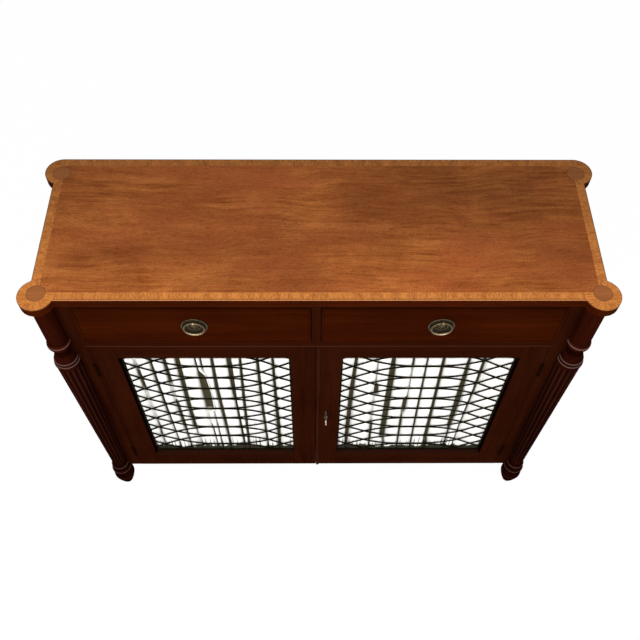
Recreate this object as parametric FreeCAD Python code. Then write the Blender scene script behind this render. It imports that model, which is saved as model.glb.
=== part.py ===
import FreeCAD, Part
import math
import os

# Side cabinet: a crossbanded top with round corners on four turned columns, two drawers over two doors.
# The doors hold wire grilles lined with pleated silk.
# Millimetres. X runs to the right, Y to the back and Z up. The origin is on the floor under the middle.

V = FreeCAD.Vector
UP = V(0, 0, 1)
BACK = V(0, 1, 0)
RIGHT = V(1, 0, 0)

# Top
top_height = 918.0
top_thickness = 21.0
veneer_thickness = 1.5
corner_span = 1070.0
corner_depth = 310.0
disc_radius = 35.0
side_return = 21.5
front_return = 23.0
banding_width = 18.0
roundel_radius = 18.5
roundel_inset = 4.0

# Case
foot_height = 96.0
side_setback = 1.0
front_setback = 2.0
back_inset = 25.0
side_thickness = 18.0
back_thickness = 10.0
bottom_thickness = 18.0
front_stile_width = 50.0
front_stile_thickness = 24.0
top_rail_height = 26.0
drawer_rail_height = 20.5
drawer_rail_depth = 63.0
rail_bead_height = 4.0
rail_bead_proud = 1.6
divider_width = 21.0
middle_offset = -7.0
runner_width = 46.0
centre_runner_width = 44.0
guide_height = 20.0
shelf_height = 418.0
shelf_thickness = 16.0
shelf_setback = 50.0
batten_width = 12.0
batten_height = 18.0

# Turned columns, from the floor up
foot_base_radius = 12.0
foot_radius = 26.5
foot_belly_height = 52.0
foot_neck_radius = 23.0
foot_neck_height = 86.0
foot_ring_radius = 26.0
foot_ring_height = 12.0
ankle_radius = 19.5
ankle_height = 12.0
ankle_ring_radius = 22.5
ankle_ring_height = 12.0
lower_cove_height = 16.0
shaft_low_radius = 18.0
shaft_high_radius = 27.2
reed_count = 14
collar_ring_radius = 28.4
collar_ring_height = 12.0
collar_groove_radius = 25.0
upper_ring_radius = 26.2
upper_ring_height = 10.0
cushion_radius = 23.5
cushion_height = 20.0
column_neck_radius = 17.0
column_cove_height = 24.0
bead_ring_radius = 24.8
bead_ring_height = 22.0
drum_radius = 21.0
drum_height = 126.0
cap_ring_radius = 24.0
cap_ring_height = 11.0
foot_curve_share = 0.8
cushion_swell_share = 0.7
reed_depth_share = 0.08

# Drawers
drawer_height = 128.0
drawer_rear_gap = 28.0
drawer_front_thickness = 20.0
drawer_side_thickness = 10.0
drawer_side_height = 105.0
drawer_bottom_thickness = 6.0
drawer_bottom_raise = 6.0
drawer_groove = 4.0
drawer_clearance = 0.75
runner_clearance = 0.3
cockbead_thickness = 3.0
cockbead_depth = 11.0
cockbead_proud = 2.0

# Drawer handles
plate_radius = 27.0
plate_thickness = 1.6
plate_rim_width = 3.0
plate_rim_raise = 0.8
handle_drop = 2.0
boss_reach = 6.0
boss_radius = 4.2
boss_neck_radius = 2.6
boss_shank_radius = 2.0
nut_width = 8.0
nut_thickness = 3.0
ring_radius = 20.5
ring_wire_radius = 2.0
ring_clearance = 0.6

# Doors
door_thickness = 26.0
door_gap = 1.0
door_top_gap = 0.8
meeting_gap = 1.5
board_gap = 1.0
stile_width = 54.0
door_top_rail = 46.0
door_bottom_rail = 64.0
rebate_width = 12.0
rebate_depth = 12.5
meeting_bead_width = 8.0
meeting_bead_proud = 3.0

# Grilles, measured across the opening from its edge
grille_thickness = 2.5
grille_clearance = 0.3
grille_wire = 2.4
grille_pitch = 52.0
grille_drop = 8.0
grille_first_column = 28.0
grille_next_column = 68.0
grille_twist = 40.0
grille_rim = 16.2

# Curtains and their rods
rod_radius = 2.0
rod_socket = 6.0
rod_above = 6.0
rod_clearance = 0.1
cloth_clearance = 0.3
cloth_thickness = 1.0
cloth_margin = 10.0
fold_swell = 1.8
valley_depth = 1.7
valley_width = 6.0
left_valley_shares = (0.095, 0.18, 0.26, 0.33, 0.45, 0.525, 0.62, 0.68, 0.785, 0.87)
right_valley_shares = (0.10, 0.235, 0.315, 0.425, 0.505, 0.595, 0.735, 0.805)

# Hinges
hinge_length = 50.0
hinge_end_distance = 95.0
knuckle_radius = 3.0
knuckle_clearance = 0.4
knuckle_gap = 0.5
middle_knuckle = 15.0
leaf_thickness = 1.2
leaf_gap = 0.2
leaf_width = 20.0
hinge_pin_radius = 1.25

# Lock, key and slip bolt
lock_height = 420.0
lock_width = 38.0
lock_case_height = 60.0
lock_depth = 10.0
lock_plate = 1.5
key_backset = 23.0
key_shank_radius = 2.2
key_bow_radius = 8.0
key_bow_wire = 1.8
key_collar_radius = 3.4
key_collar_length = 3.0
key_bit_reach = 9.6
key_bit_width = 2.4
key_bit_clearance = 0.5
keyhole_slot_width = 3.2
keyhole_slot_reach = 10.5
escutcheon_rim = 1.6
escutcheon_depth = 3.0
lock_bolt_low = 6.0
lock_bolt_height = 12.0
lock_bolt_length = 28.0
lock_bolt_setback = 0.3
lock_bolt_travel = 6.4
talon_width = 5.4
talon_depth = 4.6
mortise_clearance = 0.8
slip_bolt_offset = 20.0
slip_bolt_width = 10.0
slip_bolt_flare = 1.5
slip_bolt_thickness = 4.0
slip_bolt_length = 70.0
slip_bolt_setback = 1.2
slip_bolt_travel = 10.0
slip_knob_radius = 3.5
slip_knob_length = 6.0
slip_knob_height = 18.0

# Fits
slide_clearance = 0.2
pin_clearance = 0.05

# Worked out: the top and the case
corner_x = corner_span / 2
corner_y = corner_depth / 2
roundel_y = corner_y - roundel_inset
half_length = corner_x + disc_radius - side_return
rear_edge = corner_y + disc_radius
front_edge = front_return - rear_edge
top_under = top_height - top_thickness
case_x = corner_x - side_setback
case_front = front_setback - corner_y
case_back = corner_y + back_inset
inner_x = case_x - side_thickness
inner_back = case_back - back_thickness
stile_back = case_front + front_stile_thickness
opening_x = case_x - front_stile_width

# Worked out: heights of the rails and drawers
drawer_top = top_under - top_rail_height
drawer_base = drawer_top - drawer_height
rail_base = drawer_base - drawer_rail_height
divider_left = middle_offset - divider_width / 2
divider_right = middle_offset + divider_width / 2

# Worked out: the doors
door_x = opening_x - door_gap
door_back = case_front + door_thickness
door_base = foot_height
door_top = rail_base - door_top_gap
light_base = door_base + door_bottom_rail
light_top = door_top - door_top_rail
rebate_front = door_back - rebate_depth
cloth_front = rebate_front + grille_thickness + cloth_clearance
cloth_back = cloth_front + fold_swell + valley_depth + cloth_thickness
rod_y = cloth_back + cloth_clearance + rod_radius
board_front = door_back + board_gap
hinge_y = case_front - knuckle_radius - knuckle_clearance
hinge_x = door_x + door_gap / 2
hinge_heights = (door_base + hinge_end_distance, door_top - hinge_end_distance)

# Worked out: the lock
lock_edge = middle_offset + meeting_gap / 2
key_x = lock_edge + key_backset
lock_front = door_back - lock_depth
bow_y = -corner_y - disc_radius + key_bow_radius + key_bow_wire


def box(x_pair, y_pair, z_pair):
    """Block between two values on each axis, given in either order."""
    low = V(min(x_pair), min(y_pair), min(z_pair))
    high = V(max(x_pair), max(y_pair), max(z_pair))
    size = high - low
    return Part.makeBox(size.x, size.y, size.z, low)


def prism(points, travel):
    """Solid swept by a closed polygon along a vector."""
    return Part.Face(Part.makePolygon(points + points[:1])).extrude(travel)


def line(a, b):
    return Part.makeLine(a, b)


def arc(a, b, c):
    return Part.Arc(a, b, c).toShape()


def save(name, *solids):
    """One file for one node, holding one solid or a group of like solids."""
    shape = solids[0] if len(solids) == 1 else Part.makeCompound(list(solids))
    shape.exportStep("parts/" + name + ".step")


# Top
def top_outline():
    """Straight edges joined by round corners: the rear edge runs tangent to the rear discs."""
    front_run = corner_x - math.sqrt(disc_radius ** 2 - (front_edge + corner_y) ** 2)
    side_run = corner_y - math.sqrt(disc_radius ** 2 - (half_length - corner_x) ** 2)
    slant = disc_radius * math.sqrt(0.5)
    outer = corner_x + disc_radius
    edges = [
        line(V(-front_run, front_edge), V(front_run, front_edge)),
        arc(V(front_run, front_edge), V(corner_x + slant, -corner_y - slant), V(half_length, -side_run)),
        line(V(half_length, -side_run), V(half_length, side_run)),
        arc(V(half_length, side_run), V(outer, corner_y), V(corner_x, rear_edge)),
        line(V(corner_x, rear_edge), V(-corner_x, rear_edge)),
        arc(V(-corner_x, rear_edge), V(-outer, corner_y), V(-half_length, side_run)),
        line(V(-half_length, side_run), V(-half_length, -side_run)),
        arc(V(-half_length, -side_run), V(-corner_x - slant, -corner_y - slant), V(-front_run, front_edge)),
    ]
    return Part.Face(Part.Wire(edges))


def slab(face, base, height):
    face.translate(V(0, 0, base))
    return face.extrude(UP * height)


def make_top():
    veneer_base = top_height - veneer_thickness
    save("top_board", slab(top_outline(), top_under, top_thickness - veneer_thickness))
    veneer = slab(top_outline(), veneer_base, veneer_thickness)
    places = [V(x, y, veneer_base) for x in (-corner_x, corner_x) for y in (-roundel_y, roundel_y)]
    roundels = [Part.makeCylinder(roundel_radius, veneer_thickness, place) for place in places]
    field_x = half_length - banding_width
    field = box(
        (-field_x, field_x),
        (front_edge + banding_width, rear_edge - banding_width),
        (veneer_base, top_height),
    )
    save("top_field_veneer", field.cut(roundels).Solids[0])
    save("top_crossbanding", veneer.cut([field] + roundels).Solids[0])
    save("top_corner_roundels", *roundels)


# Case
def make_case():
    for name, side in (("left", -1), ("right", 1)):
        panel = box((side * inner_x, side * case_x), (stile_back, case_back), (foot_height, top_under))
        save(name + "_side_panel", panel)
        stile = box((side * opening_x, side * case_x), (case_front, stile_back), (foot_height, top_under))
        stile = stile.cut([leaf_recess(side, opening_x, 1, z) for z in hinge_heights])
        save(name + "_front_stile", stile)
    save("back_panel", box((-inner_x, inner_x), (inner_back, case_back), (foot_height, top_under)))
    bottom_top = foot_height + bottom_thickness
    save("bottom_board", box((-inner_x, inner_x), (board_front, inner_back), (foot_height, bottom_top)))
    save("top_front_rail", box((-opening_x, opening_x), (case_front, stile_back), (drawer_top, top_under)))
    divider = box((divider_left, divider_right), (case_front, stile_back), (drawer_base, drawer_top))
    save("drawer_divider", divider)
    make_drawer_rail()
    make_runners()
    make_shelf()


def make_drawer_rail():
    """Rail under the drawers, with a small bead on its lower edge and a socket for the slip bolt."""
    rail_back = case_front + drawer_rail_depth
    rail = box((-opening_x, opening_x), (case_front, stile_back), (rail_base, drawer_base))
    rear = box((-inner_x, inner_x), (stile_back, rail_back), (rail_base, drawer_base))
    bead = half_round(
        V(-opening_x, case_front, rail_base),
        V(-opening_x, case_front, rail_base + rail_bead_height),
        BACK * -rail_bead_proud,
        RIGHT * (2 * opening_x),
    )
    socket = slip_bolt_bar(mortise_clearance)
    socket.translate(V(0, 0, slip_bolt_travel + mortise_clearance))
    room = socket.translated(BACK * mortise_clearance)
    save("drawer_rail", rail.fuse([rear, bead]).removeSplitter().cut([socket, room]).Solids[0])


def half_round(start, end, bulge, travel):
    """Moulding whose section is a low arc on a straight back, carried along a vector."""
    middle = (start + end) * 0.5 + bulge
    return Part.Face(Part.Wire([arc(start, middle, end), line(end, start)])).extrude(travel)


def make_runners():
    runner_front = case_front + drawer_rail_depth
    heights = (rail_base, drawer_base)
    places = (
        (-inner_x, -inner_x + runner_width),
        (middle_offset - centre_runner_width / 2, middle_offset + centre_runner_width / 2),
        (inner_x - runner_width, inner_x),
    )
    save("drawer_runners", *[box(x_pair, (runner_front, inner_back), heights) for x_pair in places])
    guides = ((-inner_x, -opening_x), (divider_left, divider_right), (opening_x, inner_x))
    heights = (drawer_base, drawer_base + guide_height)
    save("drawer_guides", *[box(x_pair, (stile_back, inner_back), heights) for x_pair in guides])


def make_shelf():
    under = shelf_height - shelf_thickness
    shelf_front = case_front + shelf_setback
    save("shelf", box((-inner_x, inner_x), (shelf_front, inner_back), (under, shelf_height)))
    heights = (under - batten_height, under)
    spans = [(side * (inner_x - batten_width), side * inner_x) for side in (-1, 1)]
    save("shelf_battens", *[box(span, (shelf_front, inner_back), heights) for span in spans])


# Columns
def turned(edges, low, high):
    """Solid turned about the Z axis from an outline that runs from the low to the high end of the axis."""
    closing = line(V(0, 0, high), V(0, 0, low))
    return Part.Face(Part.Wire(edges + [closing])).revolve(V(0, 0, 0), UP, 360)


def turned_foot(shaft_low):
    """Peg-top foot with a large and a small half-round ring and a cove that leads into the shaft."""
    ring_base = foot_neck_height
    ring_top = foot_neck_height + foot_ring_height
    ankle_base = ring_top + ankle_height
    ankle_top = ankle_base + ankle_ring_height
    low_bend = foot_base_radius + (foot_radius - foot_base_radius) * foot_curve_share
    high_bend = foot_neck_radius + (foot_radius - foot_neck_radius) * foot_curve_share
    belly = V(foot_radius, 0, foot_belly_height)
    neck = V(foot_neck_radius, 0, ring_base)
    ring_end = V(foot_neck_radius, 0, ring_top)
    ankle = V(ankle_radius, 0, ankle_base)
    ankle_end = V(ankle_radius, 0, ankle_top)
    shaft = V(shaft_low_radius, 0, shaft_low)
    edges = [
        line(V(0, 0, 0), V(foot_base_radius, 0, 0)),
        arc(V(foot_base_radius, 0, 0), V(low_bend, 0, foot_belly_height / 2), belly),
        arc(belly, V(high_bend, 0, (foot_belly_height + ring_base) / 2), neck),
        arc(neck, V(foot_ring_radius, 0, (ring_base + ring_top) / 2), ring_end),
        line(ring_end, ankle),
        arc(ankle, V(ankle_ring_radius, 0, (ankle_base + ankle_top) / 2), ankle_end),
        arc(ankle_end, V(shaft_low_radius, 0, (ankle_top + shaft_low) / 2), shaft),
        line(shaft, V(0, 0, shaft_low)),
    ]
    return turned(edges, 0, shaft_low)


def turned_head(shaft_high):
    """Two collar rings, a cushion, a cove, a bead, the drum at drawer level and a cap ring."""
    ring_one = shaft_high + collar_ring_height
    ring_two = ring_one + upper_ring_height
    cushion_top = ring_two + cushion_height
    cove_top = cushion_top + column_cove_height
    bead_top = cove_top + bead_ring_height
    drum_top = bead_top + drum_height
    swell = column_neck_radius + (cushion_radius - column_neck_radius) * cushion_swell_share
    shaft = V(shaft_high_radius, 0, shaft_high)
    groove = V(collar_groove_radius, 0, ring_one)
    cushion = V(cushion_radius, 0, ring_two)
    neck = V(column_neck_radius, 0, cushion_top)
    cove_end = V(drum_radius, 0, cove_top)
    bead_end = V(drum_radius, 0, bead_top)
    cap_start = V(drum_radius, 0, drum_top)
    cap_end = V(drum_radius, 0, drum_top + cap_ring_height)
    edges = [
        line(V(0, 0, shaft_high), shaft),
        arc(shaft, V(collar_ring_radius, 0, (shaft_high + ring_one) / 2), groove),
        arc(groove, V(upper_ring_radius, 0, (ring_one + ring_two) / 2), cushion),
        arc(cushion, V(swell, 0, (ring_two + cushion_top) / 2), neck),
        arc(neck, V(column_neck_radius, 0, (cushion_top + cove_top) / 2), cove_end),
        arc(cove_end, V(bead_ring_radius, 0, (cove_top + bead_top) / 2), bead_end),
        line(bead_end, cap_start),
        arc(cap_start, V(cap_ring_radius, 0, drum_top + cap_ring_height / 2), cap_end),
        line(cap_end, V(0, 0, drum_top + cap_ring_height)),
    ]
    return turned(edges, shaft_high, drum_top + cap_ring_height)


def reeded_section(radius, height):
    """Closed ring of equal half-round reeds."""
    step = 2 * math.pi / reed_count
    edges = []
    for reed in range(reed_count):
        start, middle, end = [
            polar(radius * (1 - depth), (reed + turn) * step, height)
            for turn, depth in ((0, reed_depth_share), (0.5, 0), (1, reed_depth_share))
        ]
        edges.append(arc(start, middle, end))
    return Part.Wire(edges)


def polar(radius, angle, height):
    return V(radius * math.cos(angle), radius * math.sin(angle), height)


def make_columns():
    """Engaged columns above full round feet: front ones wrap a corner of the case, rear ones its side."""
    shaft_low = foot_neck_height + foot_ring_height + ankle_height + ankle_ring_height + lower_cove_height
    collar_height = collar_ring_height + upper_ring_height + cushion_height + column_cove_height
    shaft_high = top_under - cap_ring_height - drum_height - bead_ring_height - collar_height
    sections = [reeded_section(shaft_low_radius, shaft_low), reeded_section(shaft_high_radius, shaft_high)]
    shaft = Part.makeLoft(sections, True, True)
    column = turned_foot(shaft_low).fuse([shaft, turned_head(shaft_high)])
    notch = box((-case_x, case_x), (case_front, rear_edge), (foot_height, top_under))
    for name, x, y in (
        ("front_left_column", -corner_x, -corner_y),
        ("front_right_column", corner_x, -corner_y),
        ("rear_left_column", -corner_x, corner_y),
        ("rear_right_column", corner_x, corner_y),
    ):
        placed = column.copy()
        placed.translate(V(x, y, 0))
        save(name, placed.cut(notch).Solids[0])


# Drawers
def make_drawer(name, left, right):
    """Drawer that fills the opening between two upright edges, with a cockbeaded front and one handle."""
    outer = (left + drawer_clearance, right - drawer_clearance)
    core = (outer[0] + cockbead_thickness, outer[1] - cockbead_thickness)
    low = drawer_base + drawer_clearance
    high = drawer_top - drawer_clearance
    front_back = case_front + drawer_front_thickness
    rear = inner_back - drawer_rear_gap
    side_base = drawer_base + runner_clearance
    side_top = drawer_base + drawer_side_height
    panel_base = drawer_base + drawer_bottom_raise
    panel_top = panel_base + drawer_bottom_thickness
    inner = (outer[0] + drawer_side_thickness, outer[1] - drawer_side_thickness)
    middle = (left + right) / 2
    handle_z = (drawer_base + drawer_top) / 2 - handle_drop

    panel = box(
        (inner[0] - drawer_groove, inner[1] + drawer_groove),
        (front_back - drawer_groove, rear),
        (panel_base, panel_top),
    )
    save(name + "_drawer_bottom", panel)
    front = box(core, (case_front, front_back), (low + cockbead_thickness, high - cockbead_thickness))
    save(name + "_drawer_front", front.cut([panel, boss_hole(middle, handle_z)]))
    sides = [box(pair, (front_back, rear), (side_base, side_top)) for pair in zip(outer, inner)]
    save(name + "_drawer_sides", *[side.cut(panel) for side in sides])
    save(name + "_drawer_back", box(inner, (rear - drawer_side_thickness, rear), (panel_top, side_top)))
    bead_y = (case_front - cockbead_proud, case_front - cockbead_proud + cockbead_depth)
    upright = (low + cockbead_thickness, high - cockbead_thickness)
    beads = [box(outer, bead_y, pair) for pair in zip((low, high), upright)]
    beads += [box(pair, bead_y, upright) for pair in zip(outer, core)]
    save(name + "_drawer_cockbeading", *beads)
    make_handle(name, middle, handle_z, front_back)


def boss_hole(middle, height):
    """Hole for the shank of the boss, through the handle plate and the drawer front."""
    reach = drawer_front_thickness + plate_thickness + plate_rim_raise
    start = V(middle, case_front - plate_thickness - plate_rim_raise, height + ring_radius)
    return Part.makeCylinder(boss_shank_radius + pin_clearance, reach, start, BACK)


def make_handle(name, middle, height, front_back):
    """Round dished plate, and a ring that hangs from a pierced boss bolted through the drawer front."""
    dish_front = case_front - plate_thickness
    seat = V(middle, case_front, height)
    plate = Part.makeCylinder(plate_radius, plate_thickness + plate_rim_raise, seat, -BACK)
    dish_middle = V(middle, dish_front, height)
    dish = Part.makeCylinder(plate_radius - plate_rim_width, plate_rim_raise, dish_middle, -BACK)
    save(name + "_handle_plate", plate.cut([dish, boss_hole(middle, height)]))
    hub = V(middle, dish_front - boss_reach, height)
    save(name + "_handle_ring", Part.makeTorus(ring_radius, ring_wire_radius, hub, BACK))
    save(name + "_handle_boss", *pierced_boss(hub + UP * ring_radius, front_back))


def pierced_boss(pivot, front_back):
    """Round boss with an eye for the ring, on a shank that ends in a nut behind the drawer front."""
    nut_back = front_back + nut_thickness
    half = nut_width / 2
    head = Part.makeSphere(boss_radius, pivot)
    neck = Part.makeCylinder(boss_neck_radius, boss_reach, pivot, BACK)
    shank = Part.makeCylinder(boss_shank_radius, nut_back - pivot.y, pivot, BACK)
    eye_radius = ring_wire_radius + ring_clearance
    eye = Part.makeCylinder(eye_radius, 4 * boss_radius, pivot - RIGHT * 2 * boss_radius, RIGHT)
    nut = box((pivot.x - half, pivot.x + half), (front_back, nut_back), (pivot.z - half, pivot.z + half))
    bore_start = V(pivot.x, front_back, pivot.z)
    bore = Part.makeCylinder(boss_shank_radius + pin_clearance, nut_thickness, bore_start, BACK)
    return head.fuse([neck, shank]).cut(eye).Solids[0], nut.cut(bore)


# Doors
def make_door(name, side, valley_shares):
    """Frame with a rebate behind its opening for the grille, the curtain and the two curtain rods."""
    outer = side * door_x
    meet = middle_offset + side * meeting_gap / 2
    light = (outer - side * stile_width, meet + side * stile_width)
    depth = (case_front, door_back)
    height = (door_base, door_top)
    rebate = box(
        (light[0] + side * rebate_width, light[1] - side * rebate_width),
        (rebate_front, door_back),
        (light_base - rebate_width, light_top + rebate_width),
    )
    rods = curtain_rods(light, side)
    sockets = curtain_rods(light, side, rod_clearance)
    hinge_stile = box((outer, light[0]), depth, height).cut([rebate] + sockets)
    hinge_stile = hinge_stile.cut([leaf_recess(side, door_x, -1, z) for z in hinge_heights])
    save(name + "_door_hinge_stile", hinge_stile)
    meeting_stile = box((meet, light[1]), depth, height).cut([rebate] + sockets)
    pocket = lock_pocket() if side > 0 else left_stile_pockets()
    save(name + "_door_meeting_stile", meeting_stile.cut(pocket))
    spans = ((door_base, light_base), (light_top, door_top))
    save(name + "_door_rails", *[box(light, depth, span).cut(rebate) for span in spans])
    save(name + "_door_grille", grille(min(light), max(light)))
    save(name + "_door_curtain", curtain(min(light), max(light), valley_shares))
    save(name + "_door_curtain_rods", *rods)


def curtain_rods(light, side, clearance=0.0):
    """Rods whose ends sit in sockets in the two stiles, above and below the opening."""
    reach = rebate_width + rod_socket
    ends = sorted((light[0] + side * reach, light[1] - side * reach))
    heights = (light_base - rod_above, light_top + rod_above)
    length = ends[1] - ends[0]
    return [Part.makeCylinder(rod_radius + clearance, length, V(ends[0], rod_y, z), RIGHT) for z in heights]


def grille(left, right):
    """Lattice of flattened diamonds, even on both sides, whose wires run together across the middle."""
    centre = (left + right) / 2
    twist = (centre - grille_twist, centre + grille_twist)
    step = grille_next_column - grille_first_column
    columns = [left + grille_first_column + step * i for i in (-2, -1, 0, 1)]
    side_cells = [(a, b, b, c) for a, b, c in zip(columns, columns[1:], columns[2:] + [twist[0]])]
    middle_cell = (columns[-1], twist[0], twist[1], left + right - columns[-1])
    mirrored = [tuple(left + right - x for x in reversed(cell)) for cell in reversed(side_cells)]
    return net_plate(left, right, side_cells + [middle_cell] + mirrored)


def net_plate(left, right, cells):
    """Plate with a rim that sits in the rebate and a hole for each gap between the wires."""
    half_pitch = grille_pitch / 2
    border = rebate_width - grille_clearance
    outer = rectangle(left - border, right + border, light_base - border, light_top + border)
    rim = border - grille_rim
    window = rectangle(left - rim, right + rim, light_base - rim, light_top + rim)
    rows = math.ceil((light_top - light_base) / grille_pitch) + 2
    holes = []
    for index, cell in enumerate(cells):
        for row in range(-1, rows):
            middle = light_top - grille_drop - (2 * row + index % 2) * half_pitch
            hole = Part.Face(gap_outline(cell, middle, half_pitch)).common(Part.Face(window))
            holes += [face.OuterWire for face in hole.Faces]
    face = Part.makeFace([outer] + holes, "Part::FaceMakerBullseye")
    return face.extrude(BACK * grille_thickness)


def rectangle(left, right, low, high):
    corners = [(left, low), (right, low), (right, high), (left, high), (left, low)]
    return Part.makePolygon([V(x, rebate_front, z) for x, z in corners])


def gap_outline(cell, middle, half_pitch):
    """One gap between the wires, drawn in by half a wire all round."""
    a, b, c, d = cell
    corners = [(a, middle), (b, middle + half_pitch), (c, middle + half_pitch), (d, middle)]
    corners += [(c, middle - half_pitch), (b, middle - half_pitch)]
    corners = [p for i, p in enumerate(corners) if p != corners[i - 1]]
    inset = inset_polygon(corners, grille_wire / 2)
    return Part.makePolygon([V(x, rebate_front, z) for x, z in inset + inset[:1]])


def inset_polygon(points, distance):
    """Convex polygon, given clockwise, with every edge moved inwards by a distance."""
    count = len(points)
    edges = []
    for i in range(count):
        (x0, z0), (x1, z1) = points[i], points[(i + 1) % count]
        length = math.hypot(x1 - x0, z1 - z0)
        normal = ((z1 - z0) / length, (x0 - x1) / length)
        edges.append((normal, normal[0] * x0 + normal[1] * z0 + distance))
    result = []
    for i in range(count):
        (a, p), (b, q) = edges[i - 1], edges[i]
        det = a[0] * b[1] - a[1] * b[0]
        result.append(((p * b[1] - q * a[1]) / det, (a[0] * q - b[0] * p) / det))
    return result


def curtain(left, right, valley_shares):
    """Gathered silk: broad swelling pleats parted by narrow valleys, drawn as arcs across the width."""
    start = left - cloth_margin
    width = right - left + 2 * cloth_margin
    edge = cloth_front + fold_swell
    joints = [start]
    for share in valley_shares:
        centre = start + share * width
        joints += [centre - valley_width / 2, centre + valley_width / 2]
    joints.append(start + width)
    front = []
    for i, (a, b) in enumerate(zip(joints[:-1], joints[1:])):
        crest = valley_depth if i % 2 else -fold_swell
        front.append(arc(V(a, edge, 0), V((a + b) / 2, edge + crest, 0), V(b, edge, 0)))
    back = [fold.translated(V(0, cloth_thickness, 0)) for fold in reversed(front)]
    ends = [joints[-1], joints[0]]
    closing = [line(V(x, edge, 0), V(x, edge + cloth_thickness, 0)) for x in ends]
    outline = Part.Wire(Part.__sortEdges__(front + [closing[0]] + back + [closing[1]]))
    base = light_base - cloth_margin
    sheet = Part.Face(outline).extrude(UP * (light_top + cloth_margin - base))
    sheet.translate(V(0, 0, base))
    return sheet


# Hinges
def leaf_recess(side, edge, way, middle):
    """Shallow seat for a hinge leaf in the edge of a stile, in the stated direction from that edge."""
    depth = leaf_gap / 2 + leaf_thickness - door_gap / 2
    heights = (middle - hinge_length / 2, middle + hinge_length / 2)
    return box((side * edge, side * (edge + way * depth)), (case_front, case_front + leaf_width), heights)


def hinge_leaf(side, way, middle, spans):
    """Plate in its seat, with the knuckles that it carries round the pin."""
    near = hinge_x + way * leaf_gap / 2
    thickness = (side * near, side * (near + way * leaf_thickness))
    heights = (middle - hinge_length / 2, middle + hinge_length / 2)
    leaf = box(thickness, (case_front, case_front + leaf_width), heights)
    axis = V(side * hinge_x, hinge_y, 0)
    pieces = []
    for low, high in spans:
        pieces.append(Part.makeCylinder(knuckle_radius, high - low, axis + UP * low))
        pieces.append(box(thickness, (hinge_y, case_front), (low, high)))
    bore = Part.makeCylinder(hinge_pin_radius + pin_clearance, hinge_length, axis + UP * heights[0])
    return leaf.fuse(pieces).removeSplitter().cut(bore).Solids[0]


def make_hinges():
    case_leaves = []
    pins = []
    for name, side in (("left", -1), ("right", 1)):
        door_leaves = []
        for middle in hinge_heights:
            low = middle - hinge_length / 2
            high = middle + hinge_length / 2
            inner = (middle - middle_knuckle / 2, middle + middle_knuckle / 2)
            outer = ((low, inner[0] - knuckle_gap), (inner[1] + knuckle_gap, high))
            case_leaves.append(hinge_leaf(side, 1, middle, outer))
            door_leaves.append(hinge_leaf(side, -1, middle, [inner]))
            pins.append(Part.makeCylinder(hinge_pin_radius, hinge_length, V(side * hinge_x, hinge_y, low)))
        save(name + "_door_hinge_leaves", *door_leaves)
    save("case_hinge_leaves", *case_leaves)
    save("hinge_pins", *pins)


# Lock, key and bolts
def keyhole(front, back, rim):
    """Round hole with a slot below it, widened all round by a rim."""
    radius = key_shank_radius + slide_clearance + rim
    hole = Part.makeCylinder(radius, back - front, V(key_x, front, lock_height), BACK)
    half_slot = keyhole_slot_width / 2 + rim
    slot_base = lock_height - keyhole_slot_reach - rim
    slot = box((key_x - half_slot, key_x + half_slot), (front, back), (slot_base, lock_height))
    return hole.fuse(slot).removeSplitter()


def lock_shell():
    heights = (lock_height - lock_case_height / 2, lock_height + lock_case_height / 2)
    return box((lock_edge, lock_edge + lock_width), (lock_front, door_back), heights)


def lock_pocket():
    seat = keyhole(case_front, case_front + escutcheon_depth, escutcheon_rim)
    return [lock_shell(), keyhole(case_front, lock_front, 0), seat]


def lock_bolt_block(clearance, nose, tail):
    base = lock_height + lock_bolt_low
    inset = lock_plate + slide_clearance - clearance
    return box(
        (nose, tail),
        (lock_front + inset, door_back - inset),
        (base - clearance, base + lock_bolt_height + clearance),
    )


def make_lock():
    """Lock case let into the back of the right door, with its bolt, key, escutcheon and meeting bead."""
    shell = lock_shell()
    cavity = box(
        (lock_edge + lock_plate, lock_edge + lock_width - lock_plate),
        (lock_front + lock_plate, door_back - lock_plate),
        (lock_height - lock_case_height / 2 + lock_plate, lock_height + lock_case_height / 2 - lock_plate),
    )
    bolt_slot = lock_bolt_block(slide_clearance, lock_edge, lock_edge + lock_plate)
    front_hole = keyhole(lock_front, lock_front + lock_plate, 0)
    save("right_door_lock", shell.cut([cavity, bolt_slot, front_hole]))

    nose = lock_edge + lock_bolt_setback
    talon_base = lock_height + lock_bolt_low
    talon = box(
        (key_x - talon_width / 2, key_x + talon_width / 2),
        (lock_front, door_back),
        (talon_base, talon_base + talon_depth),
    )
    save("right_door_lock_bolt", lock_bolt_block(0, nose, nose + lock_bolt_length).cut(talon))
    make_key()
    escutcheon = keyhole(case_front, case_front + escutcheon_depth, escutcheon_rim)
    save("right_door_key_escutcheon", escutcheon.cut(keyhole(case_front, case_front + escutcheon_depth, 0)))
    bead = half_round(
        V(lock_edge, case_front, door_base),
        V(lock_edge + meeting_bead_width, case_front, door_base),
        BACK * -meeting_bead_proud,
        UP * (door_top - door_base),
    )
    save("right_door_meeting_bead", bead)


def make_key():
    """Ring bow, collar, round shank and a flat bit that works in the bolt's notch."""
    tip = door_back - lock_plate - key_bit_clearance
    shank_start = bow_y + key_bow_radius
    shank = Part.makeCylinder(key_shank_radius, tip - shank_start, V(key_x, shank_start, lock_height), BACK)
    collar_start = V(key_x, shank_start + key_bow_wire, lock_height)
    collar = Part.makeCylinder(key_collar_radius, key_collar_length, collar_start, BACK)
    bow = Part.makeTorus(key_bow_radius, key_bow_wire, V(key_x, bow_y, lock_height), RIGHT)
    bit = box(
        (key_x - key_bit_width / 2, key_x + key_bit_width / 2),
        (lock_front + lock_plate + key_bit_clearance, tip),
        (lock_height, lock_height + key_bit_reach),
    )
    save("right_door_key", shank.fuse([collar, bow, bit]).removeSplitter().Solids[0])


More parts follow.
